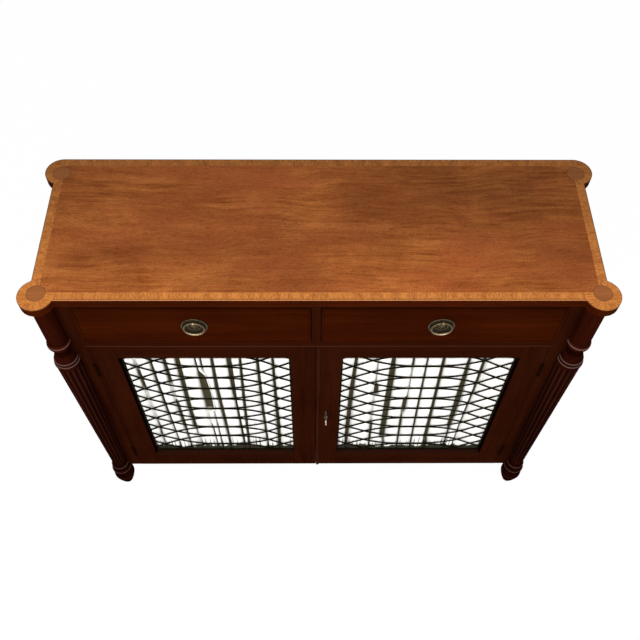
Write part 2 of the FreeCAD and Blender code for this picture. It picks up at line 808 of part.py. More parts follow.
def slip_bolt_bar(clearance):
    """Dovetailed bar that slides upwards in the back of the left door's meeting stile."""
    centre = middle_offset - meeting_gap / 2 - slip_bolt_offset
    half = slip_bolt_width / 2 + clearance
    flare = half + slip_bolt_flare
    deep = door_back - slip_bolt_thickness - clearance
    base = door_top - slip_bolt_setback - slip_bolt_length
    near = [V(centre - half, door_back, base), V(centre + half, door_back, base)]
    far = [V(centre + flare, deep, base), V(centre - flare, deep, base)]
    return prism(near + far, UP * slip_bolt_length)


def left_stile_pockets():
    """Groove for the slip bolt and mortise for the lock bolt in the left door's meeting stile."""
    edge = middle_offset - meeting_gap / 2
    groove = slip_bolt_bar(slide_clearance)
    raised = groove.translated(V(0, 0, slip_bolt_setback))
    end = lock_edge + lock_bolt_setback - lock_bolt_travel - mortise_clearance
    mortise = lock_bolt_block(mortise_clearance, edge, end)
    return [groove, raised, mortise]


def make_slip_bolt():
    bar = slip_bolt_bar(0)
    centre = middle_offset - meeting_gap / 2 - slip_bolt_offset
    knob_z = door_top - slip_bolt_setback - slip_bolt_length + slip_knob_height
    knob = Part.makeCylinder(slip_knob_radius, slip_knob_length, V(centre, door_back, knob_z), BACK)
    save("left_door_slip_bolt", bar.fuse(knob).removeSplitter())


os.makedirs("parts", exist_ok=True)
make_top()
make_case()
make_columns()
make_drawer("left", -opening_x, divider_left)
make_drawer("right", divider_right, opening_x)
make_door("left", -1, left_valley_shares)
make_door("right", 1, right_valley_shares)
make_hinges()
make_lock()
make_slip_bolt()
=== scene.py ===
import math

import bpy
import numpy as np
from mathutils import Matrix, Vector


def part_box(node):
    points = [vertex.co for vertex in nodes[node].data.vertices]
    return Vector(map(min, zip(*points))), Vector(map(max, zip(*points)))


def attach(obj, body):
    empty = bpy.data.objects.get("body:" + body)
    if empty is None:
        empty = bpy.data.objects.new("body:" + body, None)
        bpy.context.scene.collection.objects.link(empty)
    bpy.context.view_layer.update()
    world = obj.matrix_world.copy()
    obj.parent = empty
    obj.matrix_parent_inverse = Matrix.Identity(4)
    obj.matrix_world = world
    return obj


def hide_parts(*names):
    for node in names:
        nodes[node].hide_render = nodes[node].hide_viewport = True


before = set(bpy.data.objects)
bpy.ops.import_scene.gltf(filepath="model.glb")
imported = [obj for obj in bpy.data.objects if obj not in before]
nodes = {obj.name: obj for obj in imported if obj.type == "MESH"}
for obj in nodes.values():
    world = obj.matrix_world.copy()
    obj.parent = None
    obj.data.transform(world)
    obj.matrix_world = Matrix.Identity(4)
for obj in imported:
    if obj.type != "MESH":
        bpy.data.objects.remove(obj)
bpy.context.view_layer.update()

bl_info = {
    "name": "Chiffonier",
    "version": (1, 0, 0),
    "blender": (4, 5, 0),
    "location": "View3D > Sidebar > Chiffonier",
    "description": "Dresses a side cabinet with veneers, turned columns, wire grilles and pleated silk",
    "category": "Object",
}

MM = 0.001
HANDS = ("left", "right")

# Folds of the silk behind each grille, left to right. Each row of a fold gives a height, the middle
# of the fold, its width and how dark its painted shade is, in millimetres and from 0 to 1, from the top down.
LEFT_FOLDS = (
    ((645, -404, 4, 0.25), (600, -404, 7, 0.6), (570, -404, 8, 1), (505, -403, 8, 1), (470, -403, 6, 0.4),
     (350, -402, 5, 0.35), (300, -401, 5, 0.8), (240, -404, 6, 0.9), (180, -402, 3, 0.6)),
    ((645, -371, 6, 1), (400, -369, 6, 1), (300, -366, 4, 1), (180, -364, 3, 0.9)),
    ((645, -340, 8, 1), (525, -340, 8, 1), (510, -340, 6, 0.4), (440, -340, 6, 0.4),
     (425, -339, 8, 0.9), (300, -338, 8, 1), (270, -337, 5, 1), (180, -336, 4, 0.9)),
    ((645, -311, 10, 1), (400, -313, 9, 1), (290, -312, 8, 1), (270, -310, 3, 0.9),
     (230, -309, 2.5, 0.5), (180, -308, 2, 0.3)),
    ((645, -272, 4, 1), (590, -271, 4, 1), (565, -266, 14, 1), (480, -264, 18, 1), (392, -264, 16, 1),
     (384, -270, 3, 0.3), (310, -269, 3, 0.3), (290, -267, 3.5, 1), (180, -265, 3, 0.9)),
    ((645, -260, 4, 1), (590, -260, 4, 1), (565, -254, 1.5, 0), (480, -250, 1.5, 0), (392, -250, 1.5, 0),
     (384, -255, 3, 0.5), (310, -254, 3, 0.6), (290, -254, 3, 0.9), (180, -253, 3, 0.8)),
    ((645, -235, 6, 1), (500, -237, 8, 1), (300, -233, 7, 1), (180, -231, 4, 0.9)),
    ((645, -198, 10, 1), (470, -199, 8, 1), (440, -198, 5, 1), (180, -194, 5, 1)),
    ((645, -173, 5, 1), (450, -178, 6, 1), (180, -183, 5, 1)),
    ((645, -136, 6, 1), (400, -136, 6, 1), (200, -133, 5, 0.9), (180, -133, 4, 0.7)),
    ((645, -102, 5, 1), (420, -102, 6, 1), (300, -101, 8, 1), (180, -102, 7, 1)),
)
RIGHT_FOLDS = (
    ((645, 82, 6, 1), (500, 77, 9, 1), (300, 74, 9, 1), (180, 73, 6, 1)),
    ((645, 130, 2.5, 0.6), (530, 131, 2.5, 0.6), (515, 134, 9, 1), (470, 134, 9, 1),
     (455, 131, 2, 0.4), (330, 131, 2, 0.3), (310, 133, 6, 0.9), (200, 134, 5, 1), (180, 134, 3, 0.7)),
    ((645, 164, 8, 1), (610, 164, 9, 1), (590, 165, 12, 1), (230, 165, 12, 1),
     (215, 169, 4, 0.8), (180, 170, 3, 0.7)),
    ((645, 208, 5, 1), (600, 208, 5, 1), (580, 209, 2.5, 0.6), (465, 210, 2.5, 0.6),
     (445, 207, 9, 1), (390, 207, 9, 1), (360, 205, 4, 0.7), (330, 206, 6, 1), (180, 209, 4, 0.9)),
    ((645, 238, 4, 1), (400, 241, 5, 1), (180, 244, 4, 1)),
    ((645, 274, 7, 1), (400, 277, 7, 1), (240, 279, 9, 1), (180, 281, 8, 0.9)),
    ((645, 330, 6, 1), (570, 331, 9, 1), (450, 333, 13, 1), (300, 332, 10, 1),
     (280, 333, 5, 1), (180, 334, 4, 0.8)),
    ((645, 364, 8, 1), (500, 363, 6, 1), (300, 357, 4, 1), (180, 356, 2.5, 0.8)),
)


def both(name):
    """Names of the left and the right one of a pair."""
    return [f"{hand}_{name}" for hand in HANDS]


def number(name, default, description, **more):
    """Setting that is a number."""
    return bpy.props.FloatProperty(name=name, description=description, default=default, **more)


def length(name, default, description):
    """Setting that is a length in metres."""
    return number(name, default, description, precision=4, subtype="DISTANCE", unit="LENGTH")


def angle(name, degrees, description):
    """Setting that is an angle."""
    return number(name, math.radians(degrees), description, subtype="ANGLE")


def colour(name, default, description):
    """Setting that is a colour in linear light."""
    return bpy.props.FloatVectorProperty(
        name=name, description=description, default=default, size=3, min=0, max=1, subtype="COLOR"
    )


class FinishSettings(bpy.types.PropertyGroup):
    """Colours of the woods, metals and silk, in linear light."""

    field_dark: colour("Field, dark", (0.175, 0.043, 0.008), "Dark clouds of the mahogany on the top")
    field_light: colour("Field, light", (0.360, 0.116, 0.028), "Light clouds of the mahogany on the top")
    field_red: colour("Field, red", (0.250, 0.062, 0.017), "Red clouds of the mahogany on the top")
    band_dark: colour("Band, dark", (0.31, 0.096, 0.018), "Dark flecks of the crossbanding")
    band_light: colour("Band, light", (0.66, 0.235, 0.053), "Light ground of the crossbanding")
    roundel_dark: colour("Roundel, dark", (0.24, 0.075, 0.020), "Dark streaks of the corner roundels")
    roundel_light: colour("Roundel, light", (0.38, 0.135, 0.039), "Light streaks of the corner roundels")
    edge_dark: colour("Edge, dark", (0.022, 0.0031, 0.0005), "Dark streaks along the edge of the top")
    edge_light: colour("Edge, light", (0.048, 0.0072, 0.0013), "Light streaks along the edge of the top")
    # The drawers take lighter tones than the doors, rails and sides; the difference is painted light, brighter
    # towards the top of the front.
    case_dark: colour("Drawers, dark", (0.019, 0.0027, 0.0004), "Dark streaks of the drawers")
    case_light: colour("Drawers, light", (0.043, 0.0066, 0.0010), "Light streaks of the drawers")
    door_dark: colour("Doors, dark", (0.012, 0.0021, 0.0006), "Dark streaks of the doors, rails and sides")
    door_light: colour("Doors, light", (0.029, 0.0057, 0.0019), "Light streaks of the doors, rails and sides")
    # Painted highlight on up-facing beads and sills; also the light tone of the meeting bead, which is partly
    # painted highlight.
    bead_highlight: colour("Beads", (0.046, 0.0125, 0.0062), "Rubbed beads along the doors and the rail")
    column_dark: colour("Columns, dark", (0.009, 0.0014, 0.0006), "Dark streaks of the turned columns")
    column_light: colour("Columns, light", (0.027, 0.0040, 0.0016), "Light streaks of the turned columns")
    # Painted highlight on the rings of the columns.
    column_highlight: colour("Columns, crests", (0.240, 0.150, 0.130), "Rubbed crests of the rings")
    carcase_dark: colour("Carcase, dark", (0.20, 0.105, 0.042), "Dark streaks of the inside wood")
    carcase_light: colour("Carcase, light", (0.42, 0.26, 0.125), "Light streaks of the inside wood")
    # Rubbed brass; it also gives the painted highlight at the bottom of the hanging rings.
    brass_bright: colour("Brass, bright", (0.42, 0.31, 0.19), "Rubbed brass")
    brass_dull: colour("Brass, dull", (0.015, 0.009, 0.002), "Brass in the hollows")
    bronze: colour("Bronze", (0.010, 0.0035, 0.0012), "Tarnished hinges, bolts and rods")
    wire_bright: colour("Wire, bright", (0.014, 0.010, 0.005), "Rubbed bronze wire")
    wire_dull: colour("Wire, dull", (0.003, 0.0022, 0.0012), "Tarnished bronze wire")
    steel_bright: colour("Steel, bright", (0.62, 0.58, 0.53), "Rubbed steel of the key")
    steel_dull: colour("Steel, dull", (0.17, 0.15, 0.13), "Tarnished steel of the key")
    silk_light: colour("Silk", (0.94, 0.93, 0.885), "Crowns of the pleats")
    # Painted shade in the folds of the silk.
    silk_fold_shade: colour("Silk in the folds", (0.036, 0.028, 0.006), "Bottom of the deep folds")


class TopSettings(bpy.types.PropertyGroup):
    """Sizes of the veneered top."""

    band: length("Band", 0.018, "Width of the crossbanding")
    disc: length("Disc", 0.035, "Radius of the round corners")
    edge: length("Edge line", 0.0016, "Width of the dark line along the edge")
    roundel: length("Roundel", 0.0185, "Radius of the round inlays")


class ColumnSettings(bpy.types.PropertyGroup):
    """Sizes of the turned columns."""

    corner_x: length("Axis, sideways", 0.535, "Distance of a column's axis from the middle")
    corner_y: length("Axis, depth", 0.155, "Distance of a column's axis before or behind the middle")
    split: length("Split", 0.096, "Height above which a column is cut to fit round the case")
    side: length("Side plane", -0.001, "Side of the case, outward from the axis")
    face: length("Front plane", -0.002, "Front of the case, forward of the axis")
    reed_depth: length("Reed depth", 0.0024, "Depth of the grooves between the reeds at the top of the shaft")
    reed_end: length("Reed end", 0.014, "Length over which the reeds round off")
    reeds: bpy.props.IntProperty(name="Reeds", description="Reeds round a whole shaft", default=14, min=6)


class CurtainSettings(bpy.types.PropertyGroup):
    """Sizes of the pleated silk."""

    fold_depth: length("Fold depth", 0.0095, "How far a wide fold goes back")
    swell: length("Swell", 0.0022, "How far the pleats stand forward between the folds")
    gather: length("Gather", 0.0005, "Height of the fine gathers by the lower rod")
    cloth: length("Cloth", 0.0004, "Thickness of the silk")
    hem: length("Hem", 0.180, "Height of the hem, below which the silk is in shadow")
    head: length("Head", 0.640, "Height from which the rail above shades the silk")
    widen: number("Fold width", 1.3, "Width of the folds over the given one")


class GrilleSettings(bpy.types.PropertyGroup):
    """Sizes of the wire grilles."""

    wire: length("Wire", 0.0019, "Radius of the wires")
    wrap: length("Wrap", 0.0023, "Radius where the wires are bound together")
    wrap_reach: length("Wrap reach", 0.036, "Half the length of a binding")
    knot: length("Knot", 0.0026, "Half the width of the knot where two wires cross")
    weave: length("Weave", 0.0004, "How far the wires pass before and behind each other")
    proud: length("Proud", 0.0008, "How far the wires stand forward in their frame")
    pitch: length("Pitch", 0.052, "Height of one mesh")
    drop: length("Drop", 0.010, "First crossing below the head of the opening")
    rim: length("Rim", 0.0117, "How far the grille reaches past the opening into its rebate")
    strip: length("Strip", 0.0162, "Width of the strip round the wires")
    first: length("First crossing", 0.028, "First crossing from the side of the opening")
    second: length("Second crossing", 0.068, "Second crossing from the side of the opening")


class HandleSettings(bpy.types.PropertyGroup):
    """Sizes of the drawer handles."""

    relief: length("Relief", 0.0005, "Height of the pressed ornament")
    ring: length("Ring radius", 0.0205, "Radius of the hanging ring")
    wire: length("Ring wire", 0.0019, "Wire radius of the ring at the boss")
    weight: length("Ring weight", 0.0023, "Wire radius of the ring at its lowest point")


class StageSettings(bpy.types.PropertyGroup):
    """Camera, lamps and floor."""

    eye: bpy.props.FloatVectorProperty(
        name="Eye", description="Place of the camera", default=(-0.0131, -1.0200, 2.1918), subtype="XYZ",
        unit="LENGTH",
    )
    pitch: angle("Pitch", 57.57, "Downward tilt of the camera")
    yaw: angle("Yaw", -0.89, "Turn of the camera to the left")
    roll: angle("Roll", 0.72, "Roll of the camera")
    lens: number("Lens", 45.996, "Focal length in millimetres")
    key: number("Key lamp", 95, "Watts of the lamp above the front")
    fill: number("Fill lamps", 20, "Watts of the lamp on the left")
    right_share: number("Right share", 0.7, "Right lamp over the left one")
    ambient: number("Ambient", 0.40, "Strength of the even light")
    floor: colour("Floor", (0.86, 0.86, 0.86), "Colour of the floor")
    floor_size: length("Floor size", 14.0, "Side of the square floor")


# Meshes
def circle_through(start, middle, end, count):
    """Points of the circle through three profile points (radius, height).

    With the points as complex numbers a, b and c, and w = (c - a) / (b - a), the centre is
    a + (b - a) * (w - |w|^2) / (2i * imaginary part of w); the points turn about it from a through b to c.
    """
    a, b, c = complex(*start), complex(*middle), complex(*end)
    w = (c - a) / (b - a)
    steps = np.linspace(0, 1, count)
    if abs(w.imag) < 1e-6:
        points = a + (c - a) * steps
    else:
        centre = a + (b - a) * (w - abs(w) ** 2) / (2j * w.imag)
        sweep = np.angle((b - centre) / (a - centre)) + np.angle((c - centre) / (b - centre))
        points = centre + (a - centre) * np.exp(1j * sweep * steps)
    return np.stack([points.real, points.imag], 1)


def grid_faces(rows, columns, closed):
    """Quads between neighbouring rows and columns of a grid, closed round the columns or open."""
    row = np.arange(rows - 1)[:, None] * columns
    column = np.arange(columns if closed else columns - 1)[None, :]
    a = row + column
    b = row + (column + 1) % columns
    return np.stack([a, b, b + columns, a + columns], -1).reshape(-1, 4)


def skin(rings):
    """Closed surface over a stack of closed rings. Each end is a fan from the last point of its ring."""
    rows, columns = rings.shape[:2]
    quads = grid_faces(rows, columns, True)
    near = np.arange(columns - 2)
    hub = np.full(columns - 2, columns - 1)
    first = np.stack([hub, near + 1, near], 1)
    last = np.stack([hub, near, near + 1], 1) + (rows - 1) * columns
    return rings.reshape(-1, 3), [quads, np.concatenate([first, last])]


def tube(path, radius, sides, flat=1.0):
    """Tube along a path that never runs front to back, with a round or flattened section.

    The rings stand square to the path: one of their axes is the path's direction crossed with the
    depth axis, and the other, scaled by the flatness, is that axis crossed with the direction.
    """
    along = np.gradient(path, axis=0)
    along /= np.linalg.norm(along, axis=1, keepdims=True)
    across = np.cross(along, (0.0, 1.0, 0.0))
    across /= np.linalg.norm(across, axis=1, keepdims=True)
    other = np.cross(across, along) * flat
    turn = np.linspace(0, 2 * np.pi, sides, endpoint=False)
    spoke = across[:, None] * np.cos(turn)[:, None] + other[:, None] * np.sin(turn)[:, None]
    return skin(path[:, None] + spoke * np.broadcast_to(radius, len(path))[:, None, None])


def hoop(centre, radius, wire, sides):
    """Closed ring that hangs in a plane across the depth axis.

    At angles a round the ring and b round the wire a point is centre + (R + w cos b)(cos a, 0, sin a) +
    (0, w sin b, 0), with the wire radius w given for each a.
    """
    a = np.linspace(0, 2 * np.pi, len(wire), endpoint=False)[:, None]
    b = np.linspace(0, 2 * np.pi, sides, endpoint=False)[None, :]
    reach = radius + wire[:, None] * np.cos(b)
    points = np.stack([reach * np.cos(a), wire[:, None] * np.sin(b) + 0 * a, reach * np.sin(a)], -1)
    points = points.reshape(-1, 3) + centre
    return points, [grid_faces(len(wire) + 1, sides, True) % len(points)]


def outward(points, faces):
    """Turns a shell's faces round if its volume, the sum of its corner products, comes out negative."""
    triangles = np.concatenate(
        [part[:, [0, i, i + 1]] for part in faces for i in range(1, part.shape[1] - 1)]
    )
    a, b, c = np.moveaxis(points[triangles] - points.mean(0), 1, 0)
    volume = np.einsum("ij,ij->i", a, np.cross(b, c)).sum()
    return faces if volume > 0 else [part[:, ::-1] for part in faces]


def joined(shells):
    """Several shells as one, each turned outward: the faces of each are counted on from the points before it."""
    counts = np.cumsum([0] + [len(points) for points, _ in shells])
    faces = [part + base for shell, base in zip(shells, counts) for part in outward(*shell)]
    return np.concatenate([points for points, _ in shells]), faces


def make_object(name, points, faces, material, closed=True, crease=35.0, values=None):
    """Mesh object at the origin from points and faces, smooth except where it bends more than the crease."""
    if closed:
        faces = outward(points, faces)
    mesh = bpy.data.meshes.new(name)
    mesh.from_pydata(points.tolist(), [], [face for part in faces for face in part.tolist()])
    mesh.shade_smooth()
    mesh.set_sharp_from_angle(angle=math.radians(crease))
    for key, value in (values or {}).items():
        kept = mesh.attributes.new(key, "FLOAT", "POINT")
        kept.data.foreach_set("value", np.ravel(value).astype(np.float32))
    mesh.materials.append(material)
    mesh.update()
    made = bpy.data.objects.new(name, mesh)
    bpy.context.scene.collection.objects.link(made)
    return made


def seat(piece, body, slot, *replaced):
    """Lets a piece move with a body and stand for its solids. The slot is not used."""
    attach(piece, body)
    if replaced:
        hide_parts(*replaced)
    return piece


def smoothstep(low, high, value):
    """Goes from 0 at the low end to 1 at the high end along 3t^2 - 2t^3."""
    t = np.clip((value - low) / (high - low), 0, 1)
    return t * t * (3 - 2 * t)


# Materials
X, Y, Z = range(3)
GRAIN = {"X": (0.05, 1, 1), "Y": (1, 0.05, 1), "Z": (1, 1, 0.05)}
USUAL_NOISE = 0.3, 0.7  # a noise seldom goes past these
TOP_SHADE_DEPTHS = -0.18, 0.18  # painted shade darkens the top from the first to the second, towards the wall
EDGE_DEPTHS = -0.165, -0.12  # the dark line along the edge of the top comes in behind its front
FRONT_DEPTHS = -0.158, -0.160  # the string and the painted highlight on the arris come in towards its front


def connect(tree, socket, value):
    """Links a socket to another one, or sets its value."""
    if isinstance(value, bpy.types.NodeSocket):
        tree.links.new(value, socket)
    else:
        socket.default_value = value


def put(tree, kind, settings=None, **inputs):
    """Adds one node. Inputs are given by socket name, with _ for a space, as values or as other sockets."""
    node = tree.nodes.new("ShaderNode" + kind)
    for key, value in (settings or {}).items():
        setattr(node, key, value)
    for key, value in inputs.items():
        connect(tree, node.inputs[key.replace("_", " ")], value)
    return node


def calc(tree, operation, *values, clamp=False):
    """One step of arithmetic on sockets and numbers."""
    node = put(tree, "Math", {"operation": operation, "use_clamp": clamp})
    for socket, value in zip(node.inputs, values):
        connect(tree, socket, value)
    return node.outputs[0]


def times(tree, first, second):
    """Product of two sockets or numbers."""
    return calc(tree, "MULTIPLY", first, second)


def summed(tree, *shares):
    """Sum of sockets, each times its weight."""
    total, *rest = (times(tree, value, weight) for value, weight in shares)
    for part in rest:
        total = calc(tree, "ADD", total, part)
    return total


def ranged(tree, value, low, high, to_low=0.0, to_high=1.0):
    """Carries a value from one range to another and holds it at the ends."""
    node = put(tree, "MapRange", Value=value, From_Min=low, From_Max=high, To_Min=to_low, To_Max=to_high)
    return node.outputs[0]


def spread(tree, texture, first, last):
    """From the first number to the last over the usual reach of a noise."""
    return ranged(tree, texture, *USUAL_NOISE, first, last)


def choose(tree, share, first, second):
    """From the first number to the second as the share goes from 0 to 1."""
    return put(tree, "Mix", {"data_type": "FLOAT"}, Factor=share, A=first, B=second).outputs[0]


def blend_colour(tree, share, first, second):
    """From the first colour to the second as the share goes from 0 to 1."""
    node = put(tree, "Mix", {"data_type": "RGBA"})
    connect(tree, node.inputs[0], share)
    for index, tone in ((6, first), (7, second)):
        connect(tree, node.inputs[index], tone if isinstance(tone, bpy.types.NodeSocket) else (*tone, 1))
    return node.outputs[2]


def shaded(tone, share):
    """Plain colour times a share."""
    return [part * share for part in tone]


def scaled(tree, tone, share):
    """Colour of a socket times a share."""
    return put(tree, "VectorMath", {"operation": "SCALE"}, Vector=tone, Scale=share).outputs[0]


def place(tree, scale=(1, 1, 1), turn=0.0, shift=(0, 0, 0)):
    """Object coordinates in metres, turned about Z, moved and scaled."""
    where = put(tree, "TexCoord").outputs["Object"]
    return put(tree, "Mapping", Vector=where, Scale=scale, Location=shift, Rotation=(0, 0, turn)).outputs[0]


def axes_of(tree, kind="Object"):
    """The three parts of a place in metres, or of the normal."""
    return put(tree, "SeparateXYZ", Vector=put(tree, "TexCoord").outputs[kind]).outputs


def attribute(tree, name):
    """A number that the mesh keeps for each point."""
    return put(tree, "Attribute", {"attribute_name": name}).outputs["Fac"]


def noise(tree, where, scale, detail=3.0, rough=0.5, bend=0.0):
    """Cloudy noise from 0 to 1 at a place."""
    node = put(tree, "TexNoise", Vector=where, Scale=scale, Detail=detail, Roughness=rough, Distortion=bend)
    return node.outputs["Fac"]


def start_material(name):
    """New material with its node tree and its shader."""
    material = bpy.data.materials.new(name)
    material.use_nodes = True
    return material, material.node_tree, material.node_tree.nodes["Principled BSDF"]


def polish(tree, shader, tone, roughness, shine):
    """Gives a shader its colour, its roughness and how strongly it reflects."""
    connect(tree, shader.inputs["Base Color"], tone)
    connect(tree, shader.inputs["Roughness"], roughness)
    shader.inputs["Specular IOR Level"].default_value = shine


def set_bump(tree, shader, height, strength, distance):
    """Lets a height raise and lower the surface in its shading."""
    bump = put(tree, "Bump", Height=height, Strength=strength, Distance=distance)
    tree.links.new(bump.outputs[0], shader.inputs["Normal"])


def wood(name, tones, grain, gloss, shine, figure, pores, painted_light=None, dark_edges=False):
    """Sawn and polished wood with its grain along one axis.

    Coordinates are squeezed twentyfold along the grain, so noise in them runs out into streaks. A slow
    noise gives the broad figure, a quicker one the growth lines and a very fine one the open pores. Where the
    mesh keeps its painted light, crests take a painted highlight and grooves a painted shade.
    """
    material, tree, shader = start_material(name)
    dark, light = tones
    where = place(tree, GRAIN[grain])
    broad = noise(tree, where, figure, 4.0, 0.55, 1.0)
    lines = noise(tree, where, figure * 7, 4.0, 0.6, 0.3)
    fine = noise(tree, where, figure * 42, 2.0, 0.6)
    clouds = noise(tree, place(tree), 5.5, 2.0, 0.5, 0.6)
    share = summed(tree, (broad, 0.55), (lines, 0.45), (calc(tree, "SUBTRACT", clouds, 0.5), 0.35))
    tone = blend_colour(tree, ranged(tree, share, 0.30, 0.72), dark, light)
    pore = ranged(tree, fine, 0.54, 0.72)
    tone = blend_colour(tree, times(tree, pore, pores), tone, shaded(dark, 0.35))
    if painted_light is not None:
        # Painted highlight on the crests and painted shade in the grooves, as the mesh's painted light says.
        light_share = attribute(tree, "painted_light")
        groove = calc(tree, "MAXIMUM", times(tree, light_share, -1.0), 0.0)
        tone = blend_colour(tree, calc(tree, "MAXIMUM", light_share, 0.0), tone, painted_light)
        tone = blend_colour(tree, groove, tone, shaded(dark, 0.25))
    # Painted shade on the faces that look neither forward nor back, such as the jambs of the openings.
    if dark_edges:
        facing = calc(tree, "ABSOLUTE", axes_of(tree, "Normal")[Y])
        tone = blend_colour(tree, ranged(tree, facing, 0.4, 0.9), shaded(dark, 0.2), tone)
    polish(tree, shader, tone, spread(tree, lines, gloss - 0.05, gloss + 0.07), shine)
    set_bump(tree, shader, calc(tree, "SUBTRACT", lines, times(tree, pore, 0.6)), strength=0.12, distance=0.0006)
    return material


def case_wood(name, tones, grain, **more):
    """Dark polished mahogany of the case, the drawers and the doors."""
    return wood(name, tones, grain, gloss=0.42, shine=0.0, figure=18.0, pores=0.4, **more)


def fade(tree, tone, axis, places, shares, middle=None):
    """Colour scaled from one share to another between two places on an axis, or two distances from a middle."""
    where = axes_of(tree)[axis]
    if middle is not None:
        where = calc(tree, "ABSOLUTE", calc(tree, "SUBTRACT", where, middle))
    return scaled(tree, tone, ranged(tree, where, *places, *shares))


def base_colour(material):
    """Node tree of a finished material, its colour socket and what feeds that."""
    tree = material.node_tree
    socket = tree.nodes["Principled BSDF"].inputs["Base Color"]
    return tree, socket, socket.links[0].from_socket


def paint_light_fade(material, axis, places, shares, middle=None):
    """Scales the colour of a finished material between two places on an axis; most uses are painted shade and
    painted light.
    """
    tree, socket, tone = base_colour(material)
    tree.links.new(fade(tree, tone, axis, places, shares, middle), socket)
    return material


def paint_top_light(material, light):
    """Painted highlight on what faces up, such as the top of a bead or a sill."""
    tree, socket, tone = base_colour(material)
    upward = ranged(tree, axes_of(tree, "Normal")[Z], 0.3, 0.7)
    tree.links.new(blend_colour(tree, upward, tone, light), socket)
    return material


def figured(name, dark, light, red):
    """Cloudy veneer with its grain along the cabinet.

    A slow noise carries the grain to and fro across the board. Noise drawn out about twelvefold along that bent
    grain gives the growth lines and the short pores; slow noises give the light, dark and red clouds and a fine
    one the flecks. Painted shade makes the board darker towards the wall, and it is a little darker towards the
    right.
    """
    material, tree, shader = start_material(name)
    drift = noise(tree, place(tree, (1, 1.7, 1)), 3.4, 2.0, 0.5, 0.4)
    bent = put(tree, "VectorMath", {"operation": "ADD"})
    tree.links.new(place(tree), bent.inputs[0])
    tree.links.new(put(tree, "CombineXYZ", Y=times(tree, drift, 0.07)).outputs[0], bent.inputs[1])
    grain, short = (
        put(tree, "Mapping", Vector=bent.outputs[0], Scale=(squeeze, 1, 1)).outputs[0] for squeeze in (0.07, 0.12)
    )
    broad = noise(tree, grain, 70.0, 3.0, 0.6, 0.4)
    lines = noise(tree, grain, 250.0, 3.0, 0.6)
    pore = noise(tree, short, 620.0, 2.0, 0.6)
    fleck = noise(tree, place(tree), 430.0, 2.0, 0.6)
    clouds = noise(tree, place(tree, (0.6, 1, 1), 0.3), 12.0, 4.0, 0.6, 0.9)
    warm = noise(tree, place(tree, (0.7, 1, 1), -0.4, (3.1, 1.7, 0)), 8.0, 4.0, 0.6, 0.7)
    slow = noise(tree, place(tree, (0.6, 1, 1), 0.2, (3.6, 9.1, 0)), 5.0, 2.0, 0.5, 0.3)
    share = summed(tree, (clouds, 0.36), (broad, 0.30), (lines, 0.34))
    tone = blend_colour(tree, ranged(tree, share, 0.40, 0.61), dark, light)
    tone = blend_colour(tree, ranged(tree, warm, 0.44, 0.64, 0.0, 0.7), tone, red)
    tone = blend_colour(tree, ranged(tree, pore, 0.55, 0.70, 0.0, 0.6), tone, shaded(dark, 0.45))
    tone = scaled(tree, tone, spread(tree, fleck, 0.78, 1.22))
    tone = scaled(tree, tone, spread(tree, slow, 0.76, 1.26))
    tone = fade(tree, tone, X, places=(-0.5, 0.5), shares=(1.05, 0.97))
    # Painted shade towards the wall.
    tone = fade(tree, tone, Y, TOP_SHADE_DEPTHS, shares=(1.24, 0.74))
    polish(tree, shader, tone, spread(tree, lines, 0.38, 0.48), shine=0.05)
    set_bump(tree, shader, calc(tree, "SUBTRACT", lines, pore), strength=0.08, distance=0.0004)
    return material


def apart(tree, x, y, x_middle, y_middle):
    """Distance of a point from the nearest of four places that mirror each other in both axes."""
    from_x = calc(tree, "SUBTRACT", calc(tree, "ABSOLUTE", x), x_middle)
    from_y = calc(tree, "SUBTRACT", calc(tree, "ABSOLUTE", y), y_middle)
    squares = [calc(tree, "POWER", part, 2.0) for part in (from_x, from_y)]
    return calc(tree, "SQRT", calc(tree, "ADD", *squares)), from_x, from_y


